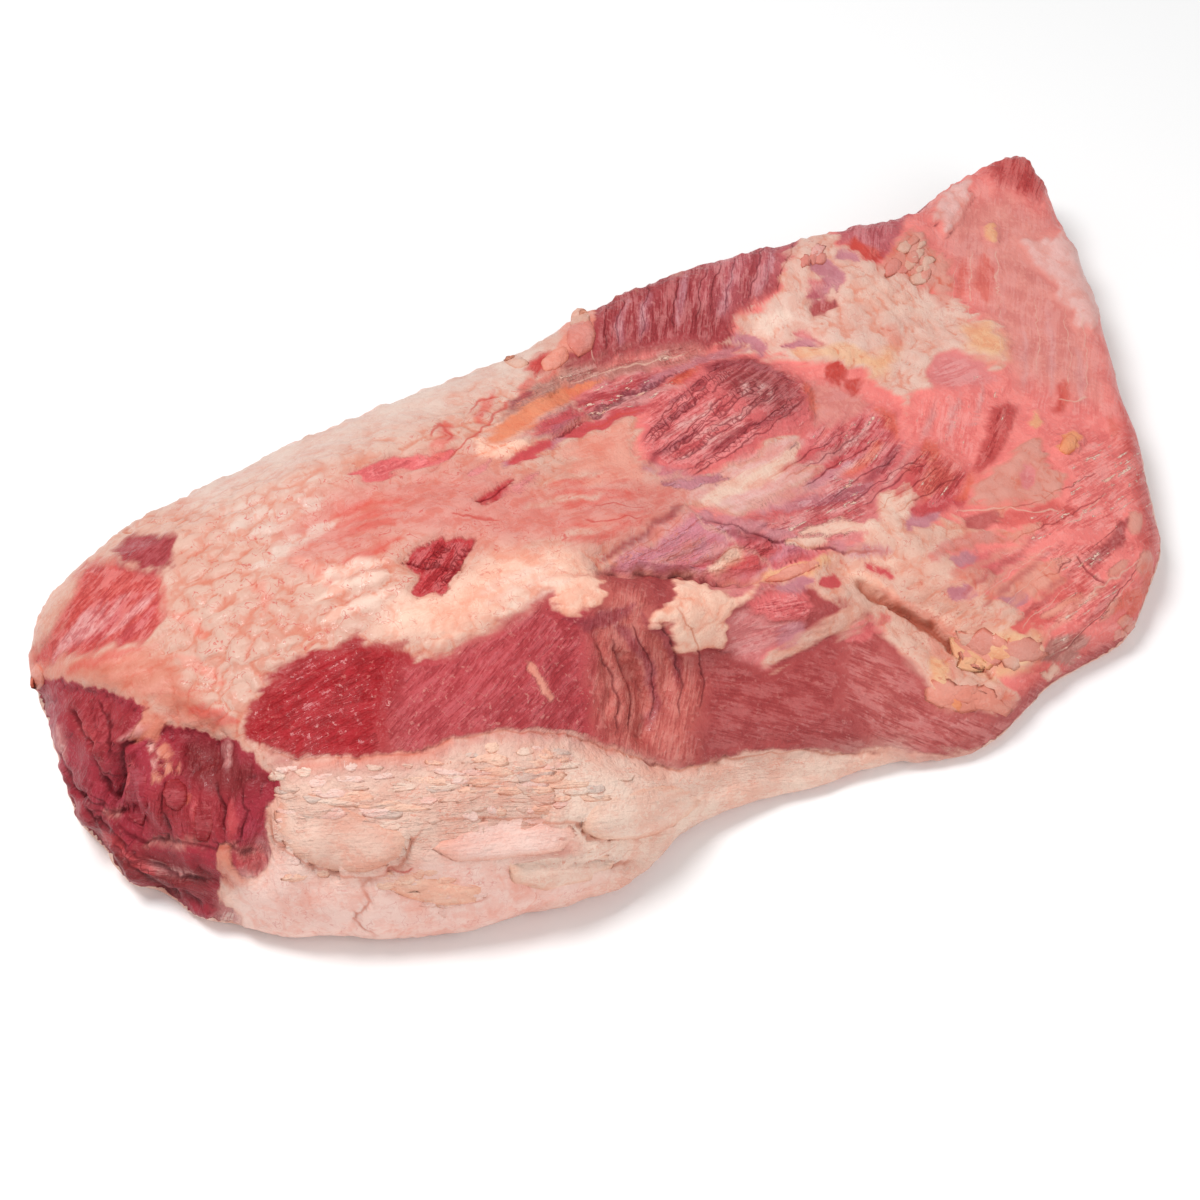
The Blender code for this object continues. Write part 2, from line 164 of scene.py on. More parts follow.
# What a patch does: "lean" and "fat" cut an outline out, and "tint" only colours and combs what is there.
# Each patch gives its kind, its tint, its soft edge in pixels, the run of its fibres in degrees up from
# the picture's right, its traits, and its outline in the photograph's pixels.
# Traits: grain of fibres, flecks of marbling, film of silverskin, scraps of fat on the lean, veins, flakes,
# lobes, rise in mm, and fray: how ragged the edge is, in pixels.
PATCHES = {
    "flat, silverskin": ("lean", "pink silverskin", 8, 88, dict(grain=0.18, film=0.4, flecks=0.1), (
        (560, 362), (592, 305), (700, 262), (800, 232), (900, 205), (1010, 140), (1060, 150), (1120, 300),
        (1175, 480), (1170, 620), (1110, 660), (1000, 760), (880, 700), (830, 620), (760, 560),
        (700, 520), (640, 470), (600, 430), (570, 400))),
    "flat, upper": ("tint", "pale silverskin", 25, 88, dict(grain=0.12, film=0.35), (
        (930, 200), (1010, 190), (1060, 230), (1100, 330), (1100, 400), (1010, 380), (990, 330),
        (960, 280))),
    "flat, lower": (
        "tint", "pink silverskin", 20, 30, dict(grain=0.5, film=0.45, flecks=0.3, scraps=0.45), (
        (900, 520), (960, 470), (1060, 430), (1150, 440), (1165, 540), (1120, 620), (1040, 660),
        (980, 640))),
    "flat, lower red": (
        "tint", "pink silverskin", 12, 32, dict(grain=0.6, film=0.4, flecks=0.3, scraps=0.3), (
        (985, 600), (1010, 570), (1060, 540), (1110, 540), (1125, 590), (1085, 640), (1050, 660),
        (1020, 640))),
    "flat, dusk": (
        "tint", "dusky silverskin", 14, 30, dict(grain=0.5, film=0.4, flecks=0.3, scraps=0.3), (
        (1035, 655), (1060, 630), (1090, 640), (1120, 630), (1118, 650), (1060, 690), (1000, 745),
        (985, 735), (1020, 690))),
    "flat, middle": ("tint", "pink silverskin", 18, 80, dict(grain=0.3, film=0.4, scraps=0.3), (
        (915, 385), (960, 365), (1010, 380), (1020, 440), (980, 480), (940, 470), (905, 430))),
    "flat, red window": ("tint", "bright red", 4, 80, dict(grain=0.4, film=0.2), (
        (1058, 381), (1065, 377), (1071, 392), (1066, 410), (1057, 408))),
    "lilac film": ("tint", "lilac", 10, 20, dict(grain=0.25, film=0.8), (
        (925, 352), (945, 345), (985, 355), (995, 378), (960, 388), (925, 385))),
    "dark oval": ("tint", "tip red", 4, 62, dict(grain=0.8, film=0.1), (
        (994, 408), (1006, 398), (1016, 411), (1013, 433), (997, 462), (978, 472), (971, 465),
        (984, 437))),
    "back rim": ("tint", "rim plum", 6, 86, dict(grain=0.6, film=0.4, flecks=0.4, rise=0.6), (
        (560, 372), (566, 345), (589, 300), (620, 285), (665, 270), (713, 255), (751, 240), (795, 226),
        (802, 245), (783, 266), (780, 290), (764, 300), (739, 315), (732, 331), (751, 339), (764, 350),
        (739, 350), (710, 347), (678, 350), (636, 354), (601, 360), (579, 370))),
    "back rim, right": ("tint", "rim rose", 14, 86, dict(grain=0.6, film=0.4), (
        (700, 300), (712, 250), (751, 240), (795, 226), (800, 245), (780, 275), (760, 296), (720, 312))),
    "back rim, second": ("tint", "rim rose", 5, 86, dict(grain=0.6, film=0.2, rise=0.4), (
        (836, 238), (838, 215), (880, 212), (912, 195), (912, 212), (898, 236), (888, 262), (866, 258),
        (847, 248))),
    "tip": ("tint", "tip red", 10, 75, dict(grain=0.7, film=0.1), (
        (985, 165), (1010, 145), (1045, 145), (1046, 190), (1040, 203), (1028, 200), (1015, 190),
        (1000, 192))),
    "valley": ("tint", "valley brown", 12, 18, dict(grain=0.9, film=0.4, scraps=0.5, fray=12.0), (
        (490, 412), (520, 385), (560, 366), (620, 358), (700, 352), (720, 358), (680, 366), (640, 372),
        (590, 385), (540, 402), (505, 425))),
    "under the valley": ("tint", "plum", 12, 22, dict(grain=0.8, film=0.5, scraps=0.6, fray=12.0), (
        (520, 445), (545, 415), (585, 392), (640, 376), (700, 362), (690, 372), (655, 390), (640, 412),
        (585, 430), (545, 450))),
    "dome": ("tint", "dome red", 9, 33, dict(grain=0.85, film=0.15, flecks=0.2, rise=1.6), (
        (640, 433), (652, 395), (662, 380), (688, 366), (713, 359), (764, 360), (790, 373), (809, 389),
        (815, 411), (809, 424), (783, 437), (751, 452), (726, 465), (697, 475), (665, 475), (646, 465))),
    "dome, dark": ("tint", "dome dark", 18, 35, dict(grain=0.9), (
        (715, 370), (760, 363), (795, 380), (803, 405), (780, 420), (750, 405), (728, 392))),
    "dome, bright": ("tint", "bright red", 7, 30, dict(grain=0.7), (
        (659, 382), (675, 370), (700, 366), (690, 380), (672, 391))),
    "pale membrane": ("tint", "pale silverskin", 3, 20, dict(grain=0.0, film=0.5), (
        (808, 386), (828, 383), (857, 392), (874, 406), (866, 414), (847, 421), (828, 429), (815, 424),
        (813, 405))),
    "striped muscle": (
        "tint", "striped red", 12, 52, dict(grain=0.85, film=0.2, flecks=0.3, scraps=0.25, fray=12.0), (
        (760, 478), (783, 462), (815, 433), (847, 424), (872, 408), (892, 417), (898, 437), (920, 446),
        (940, 459), (971, 478), (962, 494), (946, 507), (924, 520), (905, 535), (880, 520), (846, 500),
        (800, 500))),
    "striped muscle, red end": ("tint", "window red", 16, 55, dict(grain=0.8), (
        (905, 470), (925, 452), (950, 462), (970, 478), (950, 500), (920, 505))),
    "plum muscle": (
        "tint", "lilac", 12, 24, dict(grain=0.9, film=0.4, flecks=0.2, scraps=0.4, fray=12.0), (
        (735, 518), (763, 504), (800, 484), (822, 470), (850, 480), (885, 490), (905, 515), (900, 535),
        (880, 545), (850, 550), (829, 548), (800, 542), (770, 535))),
    "tongue": ("tint", "tongue pink", 6, 26, dict(grain=0.8, film=0.5, scraps=0.3, rise=1.2), (
        (600, 572), (622, 550), (656, 537), (667, 522), (689, 510), (711, 518), (748, 537), (792, 544),
        (822, 555), (792, 560), (763, 578), (737, 579), (693, 576), (640, 573))),
    "tongue, red": ("tint", "dome red", 8, 24, dict(grain=1.0, film=0.1, scraps=0.0), (
        (705, 572), (722, 552), (748, 540), (774, 546), (764, 562), (748, 574), (722, 578))),
    "lean band": ("lean", "plain lean", 5, -14, dict(grain=0.45, film=0.1, flecks=0.35), (
        (241, 728), (252, 700), (268, 677), (296, 656), (312, 651), (340, 645), (355, 632), (369, 640),
        (391, 643), (409, 638), (411, 654), (422, 660), (436, 654), (452, 648), (471, 637), (487, 630),
        (506, 616), (525, 606), (545, 590), (575, 578), (600, 573), (659, 574), (696, 578), (733, 580),
        (755, 579), (800, 588), (835, 600), (868, 618), (881, 634), (892, 648), (914, 666), (929, 688),
        (940, 700), (970, 708), (1000, 712), (1044, 690), (1081, 664), (1130, 640), (1100, 680),
        (1060, 710), (1010, 750), (955, 751), (914, 752), (859, 751), (803, 750), (755, 750), (722, 757),
        (696, 764), (678, 770), (659, 766), (630, 755), (600, 744), (583, 737), (560, 732), (538, 730),
        (506, 729), (470, 733), (440, 743), (423, 748), (391, 754), (347, 757), (320, 757), (296, 756),
        (270, 751), (246, 741))),
    "lean band, left": ("tint", "crimson", 24, 28, dict(grain=0.6, flecks=0.6, film=0.0), (
        (235, 730), (255, 690), (310, 645), (400, 635), (420, 660), (400, 700), (380, 765), (300, 765),
        (240, 750))),
    "lean band, middle": ("tint", "marbled crimson", 22, 48, dict(grain=0.6, flecks=1.0, film=0.0), (
        (400, 665), (440, 650), (500, 620), (560, 585), (600, 600), (600, 660), (610, 745), (560, 735),
        (480, 735), (400, 760), (390, 710))),
    "lean band, folds": ("tint", "brown crimson", 16, 82, dict(grain=0.5, flecks=0.4), (
        (600, 580), (640, 590), (680, 640), (700, 690), (690, 765), (640, 760), (600, 740), (592, 670))),
    "lean band, end": ("tint", "rosy lean", 24, -24, dict(grain=0.5, flecks=0.3, film=0.3), (
        (860, 625), (930, 690), (1010, 712), (1080, 664), (1130, 640), (1080, 700), (1000, 755),
        (900, 755), (850, 700))),
    "band, purple corner": ("tint", "lilac", 8, 20, dict(grain=0.3, film=0.8), (
        (725, 622), (742, 606), (765, 618), (800, 622), (780, 645), (765, 666), (728, 652))),
    "band, lens": ("tint", "dome red", 3, 10, dict(grain=0.8, film=0.05, rise=0.5), (
        (742, 609), (770, 592), (800, 590), (818, 607), (800, 618), (778, 621), (755, 615))),
    "band, tongue shadow": ("tint", "lilac", 5, 20, dict(grain=0.4, film=0.7), (
        (711, 589), (722, 583), (760, 582), (790, 588), (770, 594), (745, 603), (733, 600))),
    "fat over the point": ("fat", "point cream", 6, 18, dict(veins=1.0, lobes=1.0, grain=0.1, fray=7.0), (
        (20, 690), (28, 660), (75, 570), (100, 540), (200, 480), (310, 420), (420, 380), (500, 350),
        (560, 320), (566, 345), (560, 366), (520, 388), (500, 408), (480, 432), (500, 445), (524, 446),
        (560, 440), (600, 425), (632, 418), (640, 433), (633, 446), (646, 466), (665, 475), (694, 478),
        (740, 462), (780, 437), (796, 440), (790, 460), (822, 466), (800, 486), (763, 504), (740, 515),
        (711, 507), (690, 508), (668, 520), (655, 536), (622, 550), (598, 570), (575, 578), (545, 590),
        (525, 606), (506, 616), (487, 630), (471, 637), (452, 648), (436, 654), (422, 660), (411, 654),
        (409, 638), (391, 643), (369, 640), (355, 632), (340, 645), (312, 651), (296, 656), (268, 677),
        (252, 700), (241, 728), (247, 744), (262, 758), (230, 739), (205, 733), (182, 727), (164, 721),
        (150, 714), (141, 702), (114, 692), (91, 688), (73, 679), (47, 677))),
    "pale fat along the back": ("tint", "pale cream", 26, None, dict(veins=0.15, lobes=0.15, film=0.5), (
        (170, 500), (200, 470), (310, 410), (420, 370), (500, 345), (560, 330), (540, 370), (470, 400),
        (400, 435), (330, 460), (250, 490), (200, 510))),
    "pink fat of the point": ("tint", "point pink", 30, None, dict(veins=1.0, lobes=0.4, grain=0.6), (
        (280, 530), (330, 490), (400, 470), (470, 460), (540, 480), (600, 500), (640, 510), (600, 545),
        (540, 560), (470, 545), (400, 540), (360, 560), (300, 565))),
    "cream over the slit": ("tint", "cream", 22, None, dict(veins=0.5, lobes=0.3, grain=0.3), (
        (450, 580), (500, 555), (580, 545), (590, 570), (540, 590), (500, 615), (450, 640), (380, 630),
        (400, 600))),
    "orange fat": ("tint", "orange fat", 10, None, dict(veins=0.4, lobes=0.1, grain=0.6), (
        (560, 455), (590, 440), (628, 425), (633, 446), (644, 466), (640, 485), (600, 482), (570, 475))),
    "pink tail of the point": ("tint", "point pink", 16, None, dict(veins=0.7, lobes=0.0, grain=1.0), (
        (560, 480), (640, 478), (700, 482), (690, 505), (660, 525), (620, 545), (570, 540), (550, 510))),
    "white fat slope": (
        "tint", "white fat", 12, 28, dict(veins=0.1, lobes=0.0, grain=0.8, rise=0.3, fray=16.0), (
        (692, 492), (740, 462), (780, 437), (796, 440), (790, 460), (822, 466), (800, 486), (763, 504),
        (740, 515), (711, 507))),
    "strip over the end cut": ("tint", "strip fat", 10, None, dict(veins=0.3, lobes=0.6), (
        (40, 680), (50, 660), (100, 655), (150, 645), (170, 665), (200, 700), (235, 730), (200, 728),
        (150, 700), (114, 690), (73, 677))),
    "right rim of the flat": ("tint", "membrane red", 12, None, dict(film=0.3), (
        (1120, 400), (1135, 430), (1160, 520), (1160, 600), (1146, 640), (1130, 650), (1132, 610),
        (1145, 560), (1138, 500), (1124, 440))),
    "membrane of the point": (
        "lean", "membrane red", 12, 48, dict(grain=0.6, film=0.4, flecks=0.3, veins=0.5, fray=7.0), (
        (30, 668), (40, 650), (56, 629), (70, 597), (86, 566), (117, 560), (141, 569), (160, 573),
        (164, 597), (161, 614), (147, 638), (123, 644), (97, 650), (68, 656), (48, 661))),
    "dark bump": ("lean", "rim plum", 6, 40, dict(grain=0.6, film=0.0, rise=0.8), (
        (116, 553), (126, 541), (152, 537), (173, 537), (175, 547), (173, 567), (164, 572), (147, 569),
        (138, 562), (122, 563))),
    "red slit": ("lean", "dome red", 3, 20, dict(grain=0.6, rise=-0.8), (
        (343, 471), (357, 476), (368, 483), (380, 481), (391, 474), (413, 466), (433, 466), (447, 460),
        (455, 448), (441, 451), (424, 455), (402, 457), (382, 460), (366, 466))),
    "dark slit": ("lean", "wine", 3, 55, dict(grain=1.0, film=0.4, rise=-1.2), (
        (405, 561), (409, 552), (422, 541), (438, 536), (458, 534), (477, 539), (470, 552), (464, 561),
        (458, 569), (447, 586), (441, 592), (430, 595), (417, 598), (412, 590), (420, 578), (418, 569),
        (407, 567))),
    "small slit": ("lean", "wine", 3, 30, dict(grain=0.6, film=0.3, rise=-0.6), (
        (477, 500), (483, 492), (498, 484), (512, 478), (508, 489), (495, 498), (483, 504))),
    "plum streak": ("lean", "lilac", 4, 35, dict(grain=0.6, film=0.8), (
        (508, 494), (518, 484), (536, 474), (534, 482), (520, 492))),
    "blue streak": ("lean", "lilac", 4, 30, dict(grain=0.6, film=0.9), (
        (469, 474), (474, 466), (492, 459), (490, 466), (478, 474))),
    "red fringe": ("lean", "membrane red", 5, 60, dict(grain=0.5, film=0.2), (
        (524, 372), (534, 360), (548, 352), (556, 360), (548, 370), (534, 378))),
    "fat of the back corner": ("fat", "orange fat", 4, 60, dict(veins=0.2, lobes=0.2, rise=0.8), (
        (562, 348), (566, 326), (577, 308), (592, 300), (594, 325), (592, 345), (580, 356))),
    "yellow streak": ("fat", "amber fat", 4, 22, dict(veins=0.3, lobes=0.3), (
        (497, 431), (509, 420), (537, 409), (565, 392), (590, 382), (580, 394), (548, 409), (523, 426),
        (514, 436), (497, 440), (490, 438))),
    "pale fold": ("fat", "cream", 3, 5, dict(rise=0.5), (
        (478, 442), (486, 448), (505, 447), (523, 443), (532, 448), (512, 454), (488, 456))),
    "large patch": ("fat", "patch fat", 6, 10, dict(lobes=0.8, veins=0.4, rise=0.9, fray=10.0), (
        (713, 344), (738, 337), (732, 319), (757, 312), (777, 293), (783, 264), (805, 240), (825, 236),
        (838, 240), (847, 249), (866, 258), (879, 263), (904, 267), (923, 286), (952, 299), (971, 318),
        (997, 327), (1006, 347), (1010, 363), (1000, 370), (984, 363), (962, 354), (936, 347), (924, 360),
        (930, 388), (914, 395), (907, 411), (888, 392), (863, 373), (837, 363), (809, 363), (783, 360),
        (767, 357))),
    "large patch, yellow end": ("tint", "yellow fat", 10, 0, dict(lobes=0.2), (
        (965, 330), (985, 322), (1002, 335), (1008, 360), (990, 362), (968, 350))),
    "large patch, yellow foot": ("tint", "yellow fat", 10, 10, dict(lobes=0.2), (
        (860, 362), (895, 350), (890, 372), (872, 378))),
    "plum spot": ("lean", "plain lean", 3, 80, dict(grain=0.3, film=0.6, rise=-0.6), (
        (812, 306), (822, 298), (832, 294), (836, 304), (828, 316), (815, 316))),
    "plum spot, upper": ("lean", "lilac", 4, 80, dict(grain=0.3, film=0.8), (
        (806, 284), (822, 277), (836, 284), (830, 293), (812, 296))),
    "plum spot, lower": ("lean", "lilac", 3, 0, dict(grain=0.3, film=0.6, rise=-0.4), (
        (790, 335), (800, 330), (812, 336), (822, 342), (806, 343))),
    "fat cluster": ("fat", "rose fat", 6, 40, dict(lobes=1.0, rise=0.8, fray=8.0), (
        (884, 264), (895, 248), (905, 236), (915, 231), (926, 236), (931, 252), (948, 264), (952, 285),
        (943, 300), (930, 292), (918, 280), (902, 272))),
    "fat by the tip": ("fat", "white fat", 3, 60, dict(lobes=0.6, rise=1.2), (
        (934, 220), (940, 203), (953, 188), (970, 181), (967, 199), (957, 221), (946, 232))),
    "round fat dot": ("fat", "yellow fat", 2, 0, dict(rise=0.8), (
        (984, 236), (987, 228), (995, 226), (999, 234), (995, 244), (988, 244))),
    "white fat on the edge": ("fat", "white fat", 5, 60, dict(lobes=0.3, rise=0.4), (
        (1020, 243), (1040, 240), (1060, 233), (1078, 248), (1092, 272), (1100, 310), (1094, 330),
        (1076, 328), (1069, 312), (1055, 297), (1058, 286), (1040, 268), (1026, 254))),
    "right fat": ("fat", "rose fat", 8, 20, dict(lobes=0.7, rise=0.6, fray=10.0), (
        (967, 484), (985, 476), (1000, 468), (1014, 452), (1026, 439), (1040, 436), (1044, 450),
        (1054, 468), (1065, 476), (1062, 494), (1047, 504), (1018, 508), (989, 504), (969, 504))),
    "right fat, plum spots": ("lean", "lilac", 3, 60, dict(film=0.8), (
        (1018, 478), (1024, 469), (1034, 470), (1036, 482), (1026, 490))),
    "yellow knob": ("fat", "yellow fat", 3, 0, dict(rise=0.8), (
        (1030, 426), (1032, 414), (1040, 410), (1042, 424), (1036, 430))),
    "orange lump": ("fat", "orange lump", 3, 0, dict(rise=1.4), (
        (1058, 450), (1062, 438), (1072, 431), (1078, 440), (1076, 450), (1066, 454))),
    "central fat": ("fat", "bright fat", 8, -30, dict(lobes=0.7, veins=0.7, rise=0.6, fray=9.0), (
        (800, 582), (809, 566), (829, 553), (860, 549), (868, 535), (876, 515), (880, 496), (907, 484),
        (915, 498), (904, 520), (925, 519), (960, 520), (985, 528), (1022, 528), (1020, 538), (975, 545),
        (950, 552), (960, 562), (990, 560), (1010, 572), (985, 595), (1010, 600), (1044, 636),
        (1040, 660), (1020, 668), (990, 660), (1000, 680), (1014, 692), (1012, 703), (1000, 709),
        (970, 707), (940, 700), (929, 688), (914, 666), (895, 648), (880, 630), (868, 617), (850, 607),
        (835, 600), (815, 590))),
    "central fat, bright ridge": ("tint", "cream", 10, -35, dict(lobes=0.4, rise=0.8), (
        (845, 575), (870, 560), (890, 562), (905, 582), (925, 600), (950, 615), (960, 636), (925, 625),
        (890, 604), (862, 588))),
    "central fat, left ridge": ("tint", "bright fat", 10, -40, dict(lobes=0.5, rise=0.6), (
        (850, 590), (880, 602), (905, 618), (925, 640), (940, 665), (950, 685), (930, 680), (905, 655),
        (880, 625))),
    "yellow lumps": ("tint", "yellow fat", 8, -20, dict(lobes=1.0, veins=0.8, rise=1.0, fray=8.0), (
        (950, 655), (965, 636), (990, 634), (1015, 630), (1044, 638), (1040, 662), (1018, 668),
        (995, 680), (975, 670))),
    "orange lumps": ("tint", "orange fat", 7, -20, dict(lobes=1.0, veins=0.8, rise=1.0, fray=8.0), (
        (935, 690), (950, 682), (975, 690), (1000, 688), (1016, 694), (1010, 708), (970, 710),
        (940, 704))),
    "orange strip": ("fat", "orange fat", 4, 30, dict(lobes=0.6, rise=0.5), (
        (985, 600), (990, 590), (1008, 580), (1029, 563), (1050, 566), (1063, 580), (1054, 592),
        (1033, 599), (1010, 600))),
    "fat patch": ("fat", "cream", 3, 0, dict(lobes=0.6, veins=0.3, rise=0.9, fray=6.0), (
        (672, 582), (690, 580), (704, 580), (711, 590), (735, 600), (759, 585), (756, 596), (735, 610),
        (730, 622), (722, 637), (725, 651), (711, 647), (689, 652), (674, 652), (670, 637), (672, 622),
        (652, 622), (650, 614), (660, 607), (676, 596))),
    "small fat patch": ("fat", "cream", 4, 0, dict(lobes=0.4, veins=0.3, rise=0.3, fray=8.0), (
        (549, 583), (562, 577), (590, 576), (602, 581), (605, 597), (598, 608), (580, 617), (566, 620),
        (553, 606))),
    "fat strip": ("fat", "point cream", 8, 25, dict(lobes=0.5, veins=0.3, rise=0.2, fray=8.0), (
        (766, 668), (768, 652), (796, 637), (822, 622), (852, 602), (866, 612), (860, 625), (838, 632),
        (815, 645), (792, 658), (778, 667))),
    "fat sliver": ("fat", "orange fat", 2, 28, dict(rise=0.6), (
        (710, 571), (720, 562), (734, 554), (738, 558), (730, 566), (716, 573))),
    "fat lens": ("fat", "yellow fat", 3, 15, dict(rise=0.8), (
        (763, 580), (778, 570), (800, 562), (822, 557), (826, 562), (806, 572), (784, 580))),
    "edge fat, upper": ("fat", "rose fat", 3, 80, dict(rise=0.4), (
        (1127, 522), (1131, 513), (1143, 520), (1141, 536), (1130, 530))),
    "edge fat, middle": ("fat", "rose fat", 3, 80, dict(rise=0.5), (
        (1132, 570), (1138, 551), (1148, 552), (1149, 570), (1139, 578))),
    "edge fat, streak": ("fat", "rose fat", 3, 40, dict(rise=0.4), (
        (1106, 574), (1120, 560), (1129, 563), (1122, 574), (1111, 579))),
    "end cut": ("lean", "cut wine", 3, 72, dict(grain=0.6, flecks=0.25), (
        (20, 690), (47, 678), (73, 679), (91, 688), (114, 692), (129, 697), (141, 703), (150, 714),
        (164, 722), (182, 727), (205, 733), (229, 739), (246, 748), (258, 758), (264, 770), (279, 783),
        (278, 793), (268, 805), (265, 823), (270, 846), (271, 856), (265, 868), (252, 878), (238, 884),
        (222, 878), (217, 890), (226, 905), (240, 918), (240, 950), (150, 930), (70, 860), (20, 780))),
    "end cut, top": ("tint", "cut red", 10, 62, dict(grain=0.5), (
        (55, 690), (90, 692), (125, 705), (140, 716), (128, 735), (115, 750), (100, 770), (80, 750),
        (62, 715))),
    "end cut, dark": ("tint", "deep wine", 14, 80, dict(grain=0.6), (
        (180, 735), (220, 742), (255, 765), (262, 785), (235, 800), (205, 800), (188, 775))),
    "end cut, middle": ("tint", "cut red", 12, 85, dict(grain=0.7), (
        (150, 790), (185, 785), (225, 795), (225, 840), (180, 845), (140, 830))),
    "end cut, foot": ("tint", "deep wine", 14, -12, dict(grain=0.6), (
        (60, 800), (110, 845), (170, 862), (215, 872), (215, 900), (180, 900), (120, 880), (70, 840))),
    "end cut, fat wedge": ("fat", "strip fat", 4, 60, dict(lobes=0.2), (
        (141, 703), (150, 714), (164, 722), (160, 735), (172, 752), (184, 768), (182, 778), (164, 777),
        (155, 786), (150, 778), (152, 762), (156, 745), (150, 737), (132, 738), (120, 743), (130, 731),
        (143, 722))),
    "end cut, fat strip": ("fat", "strip fat", 3, 70, dict(), (
        (212, 848), (222, 846), (226, 858), (236, 872), (244, 884), (232, 886), (220, 868))),
    "left curl": ("fat", "orange fat", 3, 70, dict(rise=0.8), (
        (20, 690), (28, 660), (36, 655), (46, 668), (44, 684), (36, 690))),
    "front fat, right": ("tint", "warm cream", 30, None, dict(flakes=0.4, veins=0.1), (
        (540, 760), (620, 770), (700, 790), (900, 755), (860, 790), (720, 815), (660, 860), (560, 900),
        (540, 830))),
    "front fat, low": ("tint", "pink cream", 22, None, dict(flakes=0.15, veins=0.5, lobes=0.4), (
        (240, 880), (276, 846), (308, 868), (340, 880), (400, 872), (450, 850), (560, 870), (620, 870),
        (560, 910), (440, 950), (300, 950), (220, 930))),
    "front fat, pink fold": ("tint", "rose fat", 10, None, dict(flakes=0.1, veins=0.5), (
        (490, 828), (560, 832), (580, 845), (560, 856), (500, 850))),
}

